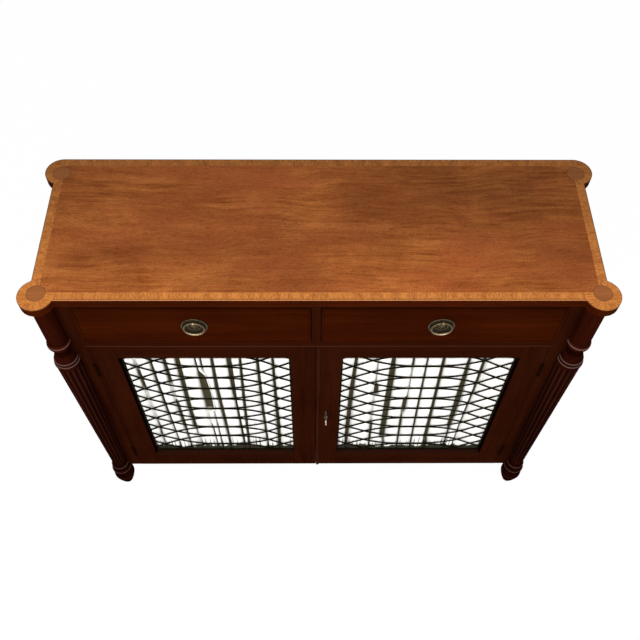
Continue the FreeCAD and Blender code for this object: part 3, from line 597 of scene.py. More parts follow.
def crossband(name, dark, light, columns, top):
    """Veneer laid with its grain across a border.

    Points nearer than the disc radius to a column's axis use their angle about it, points beside the field
    use y and the rest use x. Noise along that one coordinate, drawn out across the border, gives the flecks. The
    greater of the depths inside the disc and inside the straight edges is the distance from the outline: it is
    dark where that is less than the width of the edge line. At the front a string runs behind a painted highlight
    on the arris. Painted shade darkens the band towards the wall.
    """
    material, tree, shader = start_material(name)
    x, y = axes_of(tree)[:2]
    low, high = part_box("top_field_veneer")
    span, from_x, from_y = apart(tree, x, y, columns.corner_x, columns.corner_y)
    beside = calc(tree, "SUBTRACT", calc(tree, "ABSOLUTE", x), high[0])
    before = calc(tree, "MAXIMUM", calc(tree, "SUBTRACT", low[1], y), calc(tree, "SUBTRACT", y, high[1]))
    round_corner = calc(tree, "LESS_THAN", span, top.disc + 0.0002)
    at_side = calc(tree, "GREATER_THAN", beside, before)
    angle = times(tree, calc(tree, "ARCTAN2", from_y, from_x), 0.03)
    run = choose(tree, round_corner, choose(tree, at_side, x, y), angle)
    depth = choose(tree, round_corner, choose(tree, at_side, y, x), span)
    spot = put(tree, "CombineXYZ", X=run, Y=times(tree, depth, 0.3)).outputs[0]
    broad = noise(tree, spot, 60.0, 2.0)
    fleck = noise(tree, spot, 330.0, 3.0, 0.65)
    dots = noise(tree, place(tree), 560.0, 2.0, 0.6)
    share = summed(tree, (broad, 0.35), (fleck, 0.65))
    tone = blend_colour(tree, ranged(tree, share, 0.36, 0.60), dark, light)
    tone = blend_colour(tree, ranged(tree, dots, 0.56, 0.72, 0.0, 0.6), tone, shaded(dark, 0.7))
    inside = calc(tree, "SUBTRACT", top.band, calc(tree, "MAXIMUM", beside, before))
    inside = calc(tree, "MAXIMUM", inside, calc(tree, "SUBTRACT", top.disc, span))
    lined = calc(tree, "MAXIMUM", ranged(tree, y, *EDGE_DEPTHS), times(tree, round_corner, 0.5))
    straight = times(tree, ranged(tree, y, *FRONT_DEPTHS), calc(tree, "SUBTRACT", 1.0, round_corner))
    # Painted highlight along the front arris of the top.
    pale = light[0] * 0.9, light[1] * 1.05, light[2] * 1.9
    for start, full, most, where, line in (
        (1.0, 0.4, 1.0, lined, shaded(dark, 0.16)),
        (2.8, 1.8, 0.5, straight, shaded(dark, 0.5)),
        (0.9, 0.5, 0.6, straight, pale),
    ):
        drawn = ranged(tree, inside, top.edge * start, top.edge * full, 0.0, most)
        tone = blend_colour(tree, times(tree, drawn, where), tone, line)
    # Painted shade towards the wall.
    tone = fade(tree, tone, Y, TOP_SHADE_DEPTHS, shares=(0.93, 0.46))
    polish(tree, shader, tone, spread(tree, fleck, 0.34, 0.46), shine=0.08)
    set_bump(tree, shader, fleck, strength=0.10, distance=0.0005)
    return material


def inlaid_roundel(name, tones, columns, top):
    """Round inlay with its grain along the cabinet and a thin dark string at its edge."""
    material = wood(name, tones, "X", gloss=0.40, shine=0.08, figure=30.0, pores=0.3)
    tree, socket, tone = base_colour(material)
    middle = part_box("top_corner_roundels")[1][1] - top.roundel
    span = apart(tree, *axes_of(tree)[:2], columns.corner_x, middle)[0]
    string = ranged(tree, span, top.roundel - 0.0016, top.roundel - 0.0006, 0.0, 0.6)
    tree.links.new(blend_colour(tree, string, tone, shaded(tones[0], 0.2)), socket)
    # Painted shade darkens the roundels towards the wall.
    return paint_light_fade(material, Y, TOP_SHADE_DEPTHS, shares=(1.0, 0.56))


def metal(name, bright, dull, gloss, relief=None, metallic=1.0):
    """Rubbed metal: bright on what stands up, dull with age in the hollows and in blotches. A relief attribute sets
    where it is bright, and on the hanging rings it carries a painted highlight.
    """
    material, tree, shader = start_material(name)
    blotch = noise(tree, place(tree), 210.0, 4.0, 0.6)
    bright_share = ranged(tree, blotch, 0.36, 0.64)
    if relief:
        half = calc(tree, "ADD", times(tree, bright_share, 0.5), 0.5)
        bright_share = times(tree, half, attribute(tree, relief))
    tone = blend_colour(tree, bright_share, dull, bright)
    polish(tree, shader, tone, spread(tree, blotch, gloss + 0.14, gloss - 0.06), shine=0.0)
    shader.inputs["Metallic"].default_value = metallic
    set_bump(tree, shader, noise(tree, place(tree), 900.0, 2.0), strength=0.12, distance=0.0003)
    return material


def pleated_silk(name, light, dark):
    """Thin silk: pale on the crowns, with olive and dark painted shade in the folds, a fine plain weave and soft
    sheen.

    The mesh keeps how much painted shade each point takes, from 0 on the crowns to 1 in the folds and 2 on the hem,
    where it is a painted shadow.
    """
    material, tree, shader = start_material(name)
    fold = attribute(tree, "fold")
    streak = noise(tree, place(tree, (1, 1, 0.04)), 160.0, 3.0, 0.6)
    # Grey streaks add a little painted shade to the cloth.
    shade = calc(tree, "ADD", fold, ranged(tree, streak, 0.52, 0.76, 0.0, 0.25), clamp=True)
    tone = blend_colour(tree, shade, light, dark)
    # Painted shadow darkens the hem further.
    tone = scaled(tree, tone, ranged(tree, fold, 1.0, 2.0, 1.0, 0.4))
    polish(tree, shader, tone, roughness=0.62, shine=0.12)
    shader.inputs["Sheen Weight"].default_value = 0.12
    shader.inputs["Sheen Roughness"].default_value = 0.4
    warp, weft = (
        put(tree, "TexWave", {"bands_direction": axis}, Vector=place(tree), Scale=520.0).outputs["Fac"]
        for axis in "XZ"
    )
    set_bump(tree, shader, calc(tree, "ADD", times(tree, warp, weft), streak), strength=0.10, distance=0.0004)
    return material


def cover(material, *names):
    """Gives solids a finish in their own material slots."""
    for name in names:
        slots = nodes[name].data.materials
        slots.clear()
        slots.append(material)


# Turned columns
# Heights of the reeded shaft's ends and its radii there, in millimetres.
SHAFT_LOW, SHAFT_HIGH = 138, 672
SHAFT_THIN, SHAFT_THICK = 18, 27.2
# Heights of the painted highlight lines on the rings, how wide and how bright these are.
HIGHLIGHT_RINGS = np.array((0.054, 0.095, 0.119, 0.682, 0.692, 0.753, 0.894))
HIGHLIGHT_WIDTH, HIGHLIGHT_SHARE = 0.0009, 0.4
NOTCHED_POINTS, ROUND_POINTS = 168, 120  # points round a ring that the case cuts, and round one of the foot


def column_profile(split):
    """Profile of a column from the floor up: radius, height and reeding, which is 1 on the shaft only."""
    foot = [
        circle_through((12, 0), (20.5, 26), (26.5, 52), 16),
        circle_through((26.5, 52), (25.8, 69), (23, 86), 12),
        circle_through((23, 86), (26, 92), (23, 98), 15),
        circle_through((23, 98), (21.25, 104), (19.5, 110), 6),
        circle_through((19.5, 110), (22.5, 116), (19.5, 122), 15),
        circle_through((19.5, 122), (18, 130), (SHAFT_THIN, SHAFT_LOW), 9),
    ]
    ends = SHAFT_LOW + 16 * np.linspace(0, 1, 9) ** 1.4
    between = np.linspace(SHAFT_LOW + 20, SHAFT_HIGH - 20, 36)
    heights = np.concatenate([ends, between, SHAFT_LOW + SHAFT_HIGH - ends[::-1]])
    radii = np.interp(heights, (SHAFT_LOW, SHAFT_HIGH), (SHAFT_THIN, SHAFT_THICK))
    shaft = np.stack([radii, heights], 1)
    head = [
        circle_through((SHAFT_THICK, SHAFT_HIGH), (28.4, 678), (25, 684), 13),
        circle_through((25, 684), (26.2, 689), (23.5, 694), 13),
        circle_through((23.5, 694), (21.55, 704), (17, 714), 12),
        circle_through((17, 714), (17, 726), (21, 738), 10),
        circle_through((21, 738), (24.8, 749), (21, 760), 17),
        np.array([(21, 763), (21, 820), (21, 883)]),
        circle_through((21, 886), (24, 891.5), (21, 897), 11),
    ]
    parts = foot + [shaft] + head
    points = np.concatenate(parts) * MM
    reeded = np.concatenate([np.full(len(part), float(part is shaft)) for part in parts])
    keep = np.append(True, np.diff(points[:, 1]) > 1e-8)
    radius, height, reeded = points[keep, 0], points[keep, 1], reeded[keep]
    levels = np.union1d(height, split)
    return np.interp(levels, height, radius), levels, np.interp(levels, height, reeded)


def column_painted_light(radius, height):
    """Painted light of a profile: below 0 for painted shade in the creases, up to the highlight share on the painted
    highlight lines of the rings.

    A crease is where the radius is less than its mean over nine profile points; a line is a bell of its width.
    """
    near = np.convolve(np.pad(radius, 4, mode="edge"), np.ones(9) / 9, "valid")
    # Painted shade in the creases, and painted highlight lines on the rings.
    crease = np.clip((radius - near) / 0.0009, -0.6, 0)
    line = HIGHLIGHT_SHARE * np.exp(-((height[:, None] - HIGHLIGHT_RINGS) / HIGHLIGHT_WIDTH) ** 2).max(1)
    return np.where(line > 0.03, line, crease)


def column_rings(settings, front, low, high):
    """Rings of one right-hand column between two heights, with their painted light.

    A ring runs round the exposed side at angle t: radius r(z) less the reed depth times the distance from the
    nearest reed's crest, as a share of half a reed, to the power of 2.4. Above the foot it ends on the planes
    of the case, and its last point is the corner of the case that it wraps. The grooves between the reeds take
    painted shade with the fifth power of that distance, and their crests a little painted highlight.
    """
    radius, height, reeded = column_profile(settings.split)
    ring_light = column_painted_light(radius, height)
    inside = (height >= low - 1e-7) & (height <= high + 1e-7)
    radius, height, reeded, ring_light = radius[inside], height[inside], reeded[inside], ring_light[inside]
    side, face = settings.side, settings.face
    notched = low >= settings.split
    start = np.arccos(side / radius) if notched else np.full_like(radius, np.pi)
    end = np.arcsin(face / radius) - np.pi if notched and front else -start
    count = NOTCHED_POINTS if notched else ROUND_POINTS
    turn = start[:, None] + (end - start)[:, None] * np.linspace(0, 1, count, endpoint=notched)
    phase = turn * settings.reeds / (2 * np.pi)
    off_crest = 2 * np.abs(phase - np.floor(phase) - 0.5)
    from_end = np.minimum(height - SHAFT_LOW * MM, SHAFT_HIGH * MM - height)
    taper = reeded * np.sqrt(np.clip(from_end / settings.reed_end, 0, 1))
    depth = settings.reed_depth * taper * radius / (SHAFT_THICK * MM)
    reach = radius[:, None] - depth[:, None] * off_crest ** 2.4
    # Painted highlight on the crests of the reeds and painted shade in the grooves between them.
    reed_light = (0.04 * (1 - off_crest) ** 2 - 0.9 * off_crest ** 5) * taper[:, None]
    painted_light = (ring_light * (1 - reeded))[:, None] + reed_light
    y_axis = -settings.corner_y if front else settings.corner_y
    x = settings.corner_x + reach * np.cos(turn)
    y = y_axis + reach * np.sin(turn)
    if notched:
        corner_x, corner_y = settings.corner_x + side, y_axis - face if front else y_axis
        x[:, 0] = corner_x
        x, y, painted_light = (
            np.append(grid, np.full((len(grid), 1), last), 1)
            for grid, last in ((x, corner_x), (y, corner_y), (painted_light, 0))
        )
    return np.stack([x, y, np.broadcast_to(height[:, None], x.shape)], -1), painted_light


class CHIFFONIER_OT_turn_columns(bpy.types.Operator):
    """Turns the four reeded columns with their feet"""

    bl_idname = "chiffonier.turn_columns"
    bl_label = "Turn Columns"

    def execute(self, context):
        finish, settings = context.scene.chiffonier_finish, context.scene.chiffonier_columns
        tones = finish.column_dark, finish.column_light
        # Painted light makes the drum at the head of a column lighter than its shaft, more so on the right.
        for hand, sign, drum_light in (("left", -1, 1.9), ("right", 1, 2.8)):
            material = wood(
                f"polished_column_{hand}", tones, "Z", gloss=0.40, shine=0.0, figure=26.0, pores=0.4,
                painted_light=finish.column_highlight,
            )
            # Darker towards the floor.
            paint_light_fade(material, Z, places=(0.0, 0.70), shares=(0.55, 1.0))
            # Painted light on the drum.
            paint_light_fade(material, Z, places=(0.74, 0.77), shares=(1.0, drum_light))
            for depth in ("front", "rear"):
                spans = (0.0, settings.split), (settings.split, 1.0)
                parts = [column_rings(settings, depth == "front", *span) for span in spans]
                shells = [skin(rings * (sign, 1, 1)) for rings, _ in parts]
                painted_light = np.concatenate([light_share.ravel() for _, light_share in parts])
                column = make_object(
                    f"turned_column_{depth}_{hand}", *joined(shells), material, closed=False, crease=38.0,
                    values={"painted_light": painted_light},
                )
                seat(column, "case", "mahogany", f"{depth}_{hand}_column")
        return {"FINISHED"}


# Curtains
SILK_ROWS, SILK_STEPS = 131, 13
SOFT_SHADE = 0.26  # shade of the cloth where it turns into a fold
ROD_REACH = 0.012, 0.034  # distances from a rod between which the folds grow to their full depth
WAVE_HEIGHT = 0.004  # height of each of the hem's three waves


def fold_lines(folds, heights, widen):
    """Middle, half width and darkness of every fold at each height, between the rows given for it."""
    lines = []
    for fold in folds:
        rows = np.array(fold[::-1], float)
        middle, width, dark = (np.interp(heights, rows[:, 0] * MM, rows[:, i]) for i in (1, 2, 3))
        lines.append((middle * MM, width * MM / 2 * widen, dark))
    return np.moveaxis(np.array(lines), 1, 0)


def across_rows(cells, last):
    """Cells of the sheet, strip by strip, as rows from side to side that end in a last value."""
    rows = np.moveaxis(cells, 1, 0).reshape(cells.shape[1], -1)
    return np.append(rows, np.full((len(rows), 1), last), 1)


def silk_surface(folds, low, high, front, settings):
    """Pleated sheet as a grid of heights by steps across, and how much painted shade each point takes.

    Each row is cut at the two sides of every fold. Between two folds the cloth stands forward by the swell
    times the fourth root of sin(pi t); in a fold it goes back by a depth that grows with the fold's width
    times the square root of sin(pi t), and its walls lean outward a little. The folds grow shallow towards the
    rods. Fine gathers, sin(980x + 2.5 sin 130x) times sin(310x + 1.3), ride on the cloth above the hem, and the
    hem waves up and down by the sum of three sines of x.
    """
    heights = np.linspace(low[2], high[2], SILK_ROWS)
    middle, half, dark = fold_lines(folds, heights, settings.widen)
    sides = np.stack([middle - half, middle + half], 1).reshape(-1, SILK_ROWS)
    left, right = (np.full((1, SILK_ROWS), side) for side in (low[0], high[0]))
    edges = np.concatenate([left, sides, right])
    t = np.linspace(0, 1, SILK_STEPS, endpoint=False)
    bulge = np.sin(np.pi * t)
    x = edges[:-1, :, None] + np.diff(edges, axis=0)[:, :, None] * t
    x[1::2] -= 0.12 * np.sin(2 * np.pi * t) * half[:, :, None]
    from_rod = smoothstep(*ROD_REACH, np.minimum(heights - low[2], high[2] - heights))
    depth = settings.fold_depth * np.clip(0.35 + half / 0.005, 0, 1) * np.clip(dark * 1.2, 0.3, 1)
    depth = depth * (0.12 + 0.88 * from_rod)
    y, shade = np.zeros_like(x), np.zeros_like(x)
    y[0::2] = front + settings.swell * (1 - bulge ** 0.25)
    y[1::2] = front + settings.swell + depth[:, :, None] * bulge ** 0.5
    # Painted shade: soft where the crowns turn into the folds, dark in the folds.
    shade[0::2] = SOFT_SHADE * smoothstep(0.9, 0.0, bulge)
    shade[1::2] = np.maximum(dark[:, :, None] * smoothstep(0.0, 0.45, bulge), SOFT_SHADE)
    x, y, shade = across_rows(x, high[0]), across_rows(y, front + settings.swell), across_rows(shade, 0.0)
    z = np.broadcast_to(heights[:, None], x.shape)
    hem = settings.hem
    ripple = np.sin(x * 980 + 2.5 * np.sin(x * 130)) * np.sin(x * 310 + 1.3)
    gathered = 1 - smoothstep(hem + 0.008, hem + 0.060, z + 0.014 * np.sin(x * 90))
    y = y + settings.gather * (ripple * gathered + 0.5)
    hem_line = hem + WAVE_HEIGHT * (np.sin(x * 61 + 1) + np.sin(x * 23) + np.sin(x * 233))
    below = smoothstep(hem_line + 0.003, hem_line - 0.003, z)
    # Painted shadow under the rail above and on the hem, and painted shade in the fine gathers.
    shadow = smoothstep(settings.head, settings.head + 0.010, z) + 1.1 * below
    shade = np.clip(shade + shadow + gathered * smoothstep(0.15, 0.7, ripple), 0, 1) + below
    return np.stack([x, y, z], -1), shade


class CHIFFONIER_OT_hang_curtains(bpy.types.Operator):
    """Hangs the pleated silk on its rods behind both grilles"""

    bl_idname = "chiffonier.hang_curtains"
    bl_label = "Hang Curtains"

    def execute(self, context):
        finish, settings = context.scene.chiffonier_finish, context.scene.chiffonier_curtains
        material = pleated_silk("pleated_silk", finish.silk_light, finish.silk_fold_shade)
        for hand, folds in (("left", LEFT_FOLDS), ("right", RIGHT_FOLDS)):
            low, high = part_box(f"{hand}_door_curtain")
            points, shade = silk_surface(folds, low, high, low[1], settings)
            faces = [grid_faces(*shade.shape, False)]
            curtain = make_object(
                f"{hand}_silk_curtain", points.reshape(-1, 3), faces, material, closed=False, crease=80.0,
                values={"fold": shade},
            )
            thick = curtain.modifiers.new("cloth", "SOLIDIFY")
            thick.thickness = settings.cloth
            thick.offset = -1
            seat(curtain, f"{hand}_door", "silk", f"{hand}_door_curtain")
        return {"FINISHED"}


# Grilles
WIRE_GAP = 0.0003  # room between the ends of the wires and the side of the opening
WIRE_STEPS = 40  # points of a wire from crossing to crossing
LEAST_POINTS = 6  # a shorter piece of wire in a corner is left out
COIL_HEIGHT, COIL_RATE = 0.00016, 2400  # height of a binding's turns, and radians for each metre along it


def window(low, high, settings):
    """Left and right side of the opening that a grille fills, its sill and its highest row of crossings."""
    rim = settings.rim
    return low[0] + rim, high[0] - rim, low[2] + rim, high[2] - rim - settings.drop


def level_path(across, depth, height):
    """Straight path from side to side at one depth and height."""
    return np.stack([across, np.full_like(across, depth), np.full_like(across, height)], 1)


def wire_line(left, right, settings):
    """One wire from side to side: its place across, its rise and its count of crossings.

    The wire rises half a pitch from crossing to crossing. It runs straight at the sides; on the long reach to
    the middle it rises by 1 - (1 - t)^2.5 of the half pitch, so that it levels out, and then leaves in the same way.
    """
    step = settings.second - settings.first
    near = settings.first + step * np.array([-2, -1, 0, 1])
    stops = np.concatenate([left + near, [(left + right) / 2], right - near[::-1]])
    t = np.linspace(0, 1, WIRE_STEPS, endpoint=False)
    rise = np.tile(t, (len(stops) - 1, 1))
    rise[3] = 1 - (1 - t) ** 2.5
    rise[4] = t ** 2.5
    count = np.arange(len(stops) - 1)[:, None]
    across = stops[:-1, None] + np.diff(stops)[:, None] * t
    return across.ravel(), (rise + count).ravel() * settings.pitch / 2, (t + count).ravel()


def wires(low, high, level, settings):
    """All the wires inside a window: rising and falling ones, which pass before and behind by turns."""
    left, right, sill, head = window(low, high, settings)
    across, rise, count = wire_line(left, right, settings)
    many = int((high[2] - low[2] + rise[-1]) / settings.pitch) + 2
    beside = (across > left + WIRE_GAP) & (across < right - WIRE_GAP)
    shells = []
    for way in (1, -1):
        y = level + way * settings.weave * np.cos(np.pi * count)
        for index in range(-many, many):
            z = head + index * settings.pitch + way * rise
            inside = beside & (z > sill + WIRE_GAP) & (z < head + settings.drop - WIRE_GAP)
            if inside.sum() >= LEAST_POINTS:
                shells.append(tube(np.stack([across, y, z], 1)[inside][::2], settings.wire, sides=8))
    return shells


def knots(low, high, level, settings):
    """Small flattened beads where rising and falling wires cross: half widths follow sqrt(1 - t^2)."""
    left, right, sill, head = window(low, high, settings)
    first, second, pitch = settings.first, settings.second, settings.pitch
    t = np.linspace(-0.97, 0.97, 9)
    shells = []
    for x, drop in ((left + first, 0), (left + second, pitch / 2), (right - second, pitch / 2), (right - first, 0)):
        for z in np.arange(head - drop, sill + 0.006, -pitch):
            path = level_path(x + t * settings.knot * 1.5, level, z)
            shells.append(tube(path, settings.knot * np.sqrt(1 - t * t), sides=8, flat=0.8))
    return shells


def wraps(low, high, level, settings):
    """Bindings of fine wire down the middle: a tube that ripples with the turns and thins towards its ends."""
    left, right, sill, head = window(low, high, settings)
    run = np.linspace(-settings.wrap_reach, settings.wrap_reach, 61)
    thinning = 1 - (run / settings.wrap_reach) ** 8 * 0.3
    coil = settings.wrap * thinning + COIL_HEIGHT * np.sin(run * COIL_RATE)
    heights = np.arange(head, sill - 0.004, -settings.pitch)
    return [tube(level_path((left + right) / 2 + run, level, z), coil, sides=10) for z in heights]


def strips(low, high, level, settings):
    """Flat strips round the wires, which sit in the rebate of the door."""
    half = settings.strip / 2
    sides, ends = (low[0] + half, high[0] - half), (low[2] + half, high[2] - half)
    corners = np.array([(sides[0], ends[0]), (sides[1], ends[0]), (sides[1], ends[1]), (sides[0], ends[1])])
    shells = []
    for start, end in zip(corners, np.roll(corners, -1, 0)):
        line = start + (end - start) * np.linspace(0, 1, 6)[:, None]
        path = np.insert(line, 1, level + settings.proud, axis=1)
        shells.append(tube(path, half, sides=12, flat=0.15))
    return shells


class CHIFFONIER_OT_weave_grilles(bpy.types.Operator):
    """Weaves the bronze wire grilles of both doors"""

    bl_idname = "chiffonier.weave_grilles"
    bl_label = "Weave Grilles"

    def execute(self, context):
        finish, settings = context.scene.chiffonier_finish, context.scene.chiffonier_grilles
        material = metal("tarnished_bronze", finish.wire_bright, finish.wire_dull, gloss=0.6, metallic=0.4)
        for hand in HANDS:
            low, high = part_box(f"{hand}_door_grille")
            level = (low[1] + high[1]) / 2 - settings.proud
            shells = [shell for make in (wires, knots, wraps, strips) for shell in make(low, high, level, settings)]
            grille = make_object(f"{hand}_wire_grille", *joined(shells), material, closed=False, crease=60.0)
            seat(grille, f"{hand}_door", "bronze_wire", f"{hand}_door_grille")
        return {"FINISHED"}


# Handles
# A plate from the middle of its back, over its edge, to the middle of its front: shares of its radius and
# heights in millimetres. The first points are on the back.
PLATE_PROFILE = np.array([
    (0.02, 0.0), (0.5, 0.0), (1.0, 0.0), (1.0, 0.9), (0.99, 1.6), (0.97, 2.1), (0.945, 2.35), (0.915, 2.2),
    (0.89, 1.7), (0.87, 1.15), (0.84, 0.95), (0.76, 0.9), (0.66, 0.9), (0.57, 0.95), (0.53, 1.1), (0.50, 1.6),
    (0.47, 1.85), (0.44, 1.6), (0.41, 1.1), (0.37, 0.95), (0.33, 1.05), (0.28, 1.4), (0.22, 1.65), (0.17, 1.4),
    (0.14, 1.15), (0.115, 1.6), (0.08, 2.0), (0.04, 2.15), (0.01, 2.2),
])
BACK_POINTS = 4
BEADS, PETALS = 40, 8
BEAD_BAND, PETAL_BAND, RIM = (0.47, 0.05), (0.24, 0.09), 0.86  # middles and widths, and the rim's start, as shares
PLATE_STEPS, RING_STEPS, RING_SIDES = 160, 96, 16


def plate_rings(low, high, settings):
    """Pressed round plate, and how far each point stands up.

    A ring at share s of the radius stands forward by its profile height plus waves of the angle a: beads
    cos(40a) on the inner ring and petals cos(8a) in the rosette, each where its share says.
    """
    share, height = PLATE_PROFILE[:, 0], PLATE_PROFILE[:, 1] * MM
    fore = np.arange(len(share)) >= BACK_POINTS
    turn = np.linspace(0, 2 * np.pi, PLATE_STEPS, endpoint=False)
    beads = fore * np.exp(-((share - BEAD_BAND[0]) / BEAD_BAND[1]) ** 2)
    petals = fore * np.exp(-((share - PETAL_BAND[0]) / PETAL_BAND[1]) ** 4)
    wave = np.outer(beads, np.cos(BEADS * turn)) * 0.5 + np.outer(petals, np.cos(PETALS * turn))
    stand = height[:, None] + wave * settings.relief
    centre, half = (low + high) / 2, (high - low) / 2
    x = centre[0] + half[0] * np.outer(share, np.cos(turn))
    z = centre[2] + half[2] * np.outer(share, np.sin(turn))
    bright_share = np.where(share > RIM, 0.26, 0.45) * fore
    wear_and_highlight = np.clip(1.6 * (stand / 0.0012 - 1.15), 0, 1) * bright_share[:, None]
    return np.stack([x, high[1] - stand, z], -1), wear_and_highlight


class CHIFFONIER_OT_fit_handles(bpy.types.Operator):
    """Fits the pressed round plates, the bosses and the hanging rings of the drawer handles"""

    bl_idname = "chiffonier.fit_handles"
    bl_label = "Fit Handles"

    def execute(self, context):
        finish, settings = context.scene.chiffonier_finish, context.scene.chiffonier_handles
        bright, dull = finish.brass_bright, finish.brass_dull
        pressed = metal("pressed_brass", bright, dull, gloss=0.45, relief="wear_and_highlight", metallic=0.7)
        cast = metal("cast_brass", bright, shaded(dull, 3), gloss=0.38, relief="wear_and_highlight")
        boss = metal("boss_brass", shaded(bright, 0.8), shaded(dull, 4), gloss=0.42)
        hang = (1 - np.sin(np.linspace(0, 2 * np.pi, RING_STEPS, endpoint=False))) / 2
        wire = settings.wire + (settings.weight - settings.wire) * smoothstep(0.3, 1.0, hang)
        # Painted highlight: the ring is brightest at its lowest point.
        bright_share = np.repeat(0.3 + 0.7 * smoothstep(0.6, 0.95, hang), RING_SIDES)
        for hand in HANDS:
            rings, wear_and_highlight = plate_rings(*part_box(f"{hand}_handle_plate"), settings)
            plate = make_object(
                f"{hand}_pressed_plate", *skin(rings), pressed, crease=50.0, values={"wear_and_highlight": wear_and_highlight}
            )
            seat(plate, f"{hand}_drawer", "brass", f"{hand}_handle_plate")
            low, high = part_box(f"{hand}_handle_ring")
            shell = hoop((low + high) / 2, settings.ring, wire, RING_SIDES)
            ring = make_object(f"{hand}_cast_ring", *shell, cast, crease=60.0, values={"wear_and_highlight": bright_share})
            seat(ring, f"{hand}_ring", "brass", f"{hand}_handle_ring")
            cover(boss, f"{hand}_handle_boss")
        return {"FINISHED"}


# Finishes of the solids
ARRIS = 0.0005  # width of a rounded arris
JOIN_REACH = 0.00001  # points of a solid's triangles that are nearer than this are joined


def soften(*names):
    """Rounds the arrises of solids, after joining their loose triangles."""
    for name in names:
        join = nodes[name].modifiers.new("join", "WELD")
        join.merge_threshold = JOIN_REACH
        bevel = nodes[name].modifiers.new("arris", "BEVEL")
        bevel.width = ARRIS
        bevel.segments = 2
        bevel.limit_method = "ANGLE"
        bevel.angle_limit = math.radians(40)
        bevel.use_clamp_overlap = True


class CHIFFONIER_OT_lay_veneers(bpy.types.Operator):
    """Lays the mahogany field, the crossbanding and the roundels of the top"""

    bl_idname = "chiffonier.lay_veneers"
    bl_label = "Lay Veneers"

    def execute(self, context):
        scene = context.scene
        finish, columns, top = scene.chiffonier_finish, scene.chiffonier_columns, scene.chiffonier_top
        field = figured("figured_mahogany", finish.field_dark, finish.field_light, finish.field_red)
        edging = case_wood("edge_mahogany", (finish.edge_dark, finish.edge_light), "X")
        # Painted highlight on the lower arris of the top's edge.
        paint_light_fade(edging, Z, places=(0.8985, 0.9), shares=(1.5, 1.0))
        band = crossband("crossbanding", finish.band_dark, finish.band_light, columns, top)
        roundel = inlaid_roundel("roundel_veneer", (finish.roundel_dark, finish.roundel_light), columns, top)
        cover(field, "top_field_veneer")
        cover(edging, "top_board")
        cover(band, "top_crossbanding")
        cover(roundel, "top_corner_roundels")
        return {"FINISHED"}


class CHIFFONIER_OT_polish_case(bpy.types.Operator):
    """Polishes the dark mahogany of the case, drawers and doors"""

    bl_idname = "chiffonier.polish_case"
    bl_label = "Polish Case"

    def execute(self, context):
        finish = context.scene.chiffonier_finish
        tones = finish.door_dark, finish.door_light
        fronts = case_wood("drawer_mahogany", (finish.case_dark, finish.case_light), "X")
        # Painted shadow under the overhang of the top darkens the drawers towards their top.
        paint_light_fade(fronts, Z, places=(0.81, 0.87), shares=(1.0, 0.62))
        stile = case_wood("stile_mahogany", tones, "Z")
        # Painted shade darkens the stiles towards the columns.
        paint_light_fade(stile, X, places=(0.495, 0.522), shares=(1.0, 0.3), middle=0.0)
        divider = case_wood("divider_mahogany", tones, "Z")
        # Painted shade along both edges of the divider.
        paint_light_fade(divider, X, places=(0.0075, 0.0100), shares=(1.0, 0.35), middle=-0.007)
        upright = case_wood("case_mahogany", tones, "Z")
        level = case_wood("rail_mahogany", tones, "X")
        # Painted light lightens the rail towards the top, under the overhang.
        paint_light_fade(level, Z, places=(0.88, 0.895), shares=(1.0, 1.7))
        # Painted highlight on the upper face of the rail's bead.
        beaded = paint_top_light(case_wood("beaded_rail", tones, "X"), finish.bead_highlight)
        # Door stiles and rails take painted shade on their side faces.
        door_upright = case_wood("door_mahogany_upright", tones, "Z", dark_edges=True)
        door_level = case_wood("door_mahogany_level", tones, "X", dark_edges=True)
        # Painted light on the up-facing sills of the door rails.
        paint_top_light(door_level, shaded(finish.bead_highlight, 0.5))
        bead_tones = finish.door_dark, finish.bead_highlight
        # The meeting bead is lighter than the doors, partly as a painted highlight.
        bead = wood("beading", bead_tones, "Z", gloss=0.38, shine=0.0, figure=30.0, pores=0.3)
        drawers = both("drawer_front")
        sides, front_stiles, rails = both("side_panel"), both("front_stile"), both("door_rails")
        stiles = both("door_hinge_stile") + both("door_meeting_stile")
        cover(upright, *sides)
        cover(stile, *front_stiles)
        cover(divider, "drawer_divider")
        cover(level, "top_front_rail")
        cover(beaded, "drawer_rail")
        cover(fronts, *drawers, *both("drawer_cockbeading"))
        cover(door_upright, *stiles)
        cover(door_level, *rails)
        cover(bead, "right_door_meeting_bead")
        soften("top_board", "top_front_rail", "drawer_rail", "drawer_divider", *drawers)
        soften(*sides, *front_stiles, *stiles, *rails)
        return {"FINISHED"}


class CHIFFONIER_OT_finish_inside(bpy.types.Operator):
    """Finishes the plain wood of the back, the boards and the insides of the drawers"""

    bl_idname = "chiffonier.finish_inside"
    bl_label = "Finish Inside"

    def execute(self, context):
        finish = context.scene.chiffonier_finish
        tones = finish.carcase_dark, finish.carcase_light
        plain = {"gloss": 0.62, "shine": 0.25, "figure": 15.0, "pores": 0.35}
        level = wood("carcase_wood_level", tones, "X", **plain)
        deep = wood("carcase_wood_deep", tones, "Y", **plain)
        back_tones = shaded(finish.carcase_dark, 0.55), shaded(finish.carcase_light, 0.6)
        back = wood("back_boards", back_tones, "Z", gloss=0.68, shine=0.2, figure=12.0, pores=0.5)
        cover(level, "bottom_board", "shelf", *both("drawer_bottom"), *both("drawer_back"))
        cover(deep, "drawer_runners", "drawer_guides", "shelf_battens", *both("drawer_sides"))
        cover(back, "back_panel")
        return {"FINISHED"}


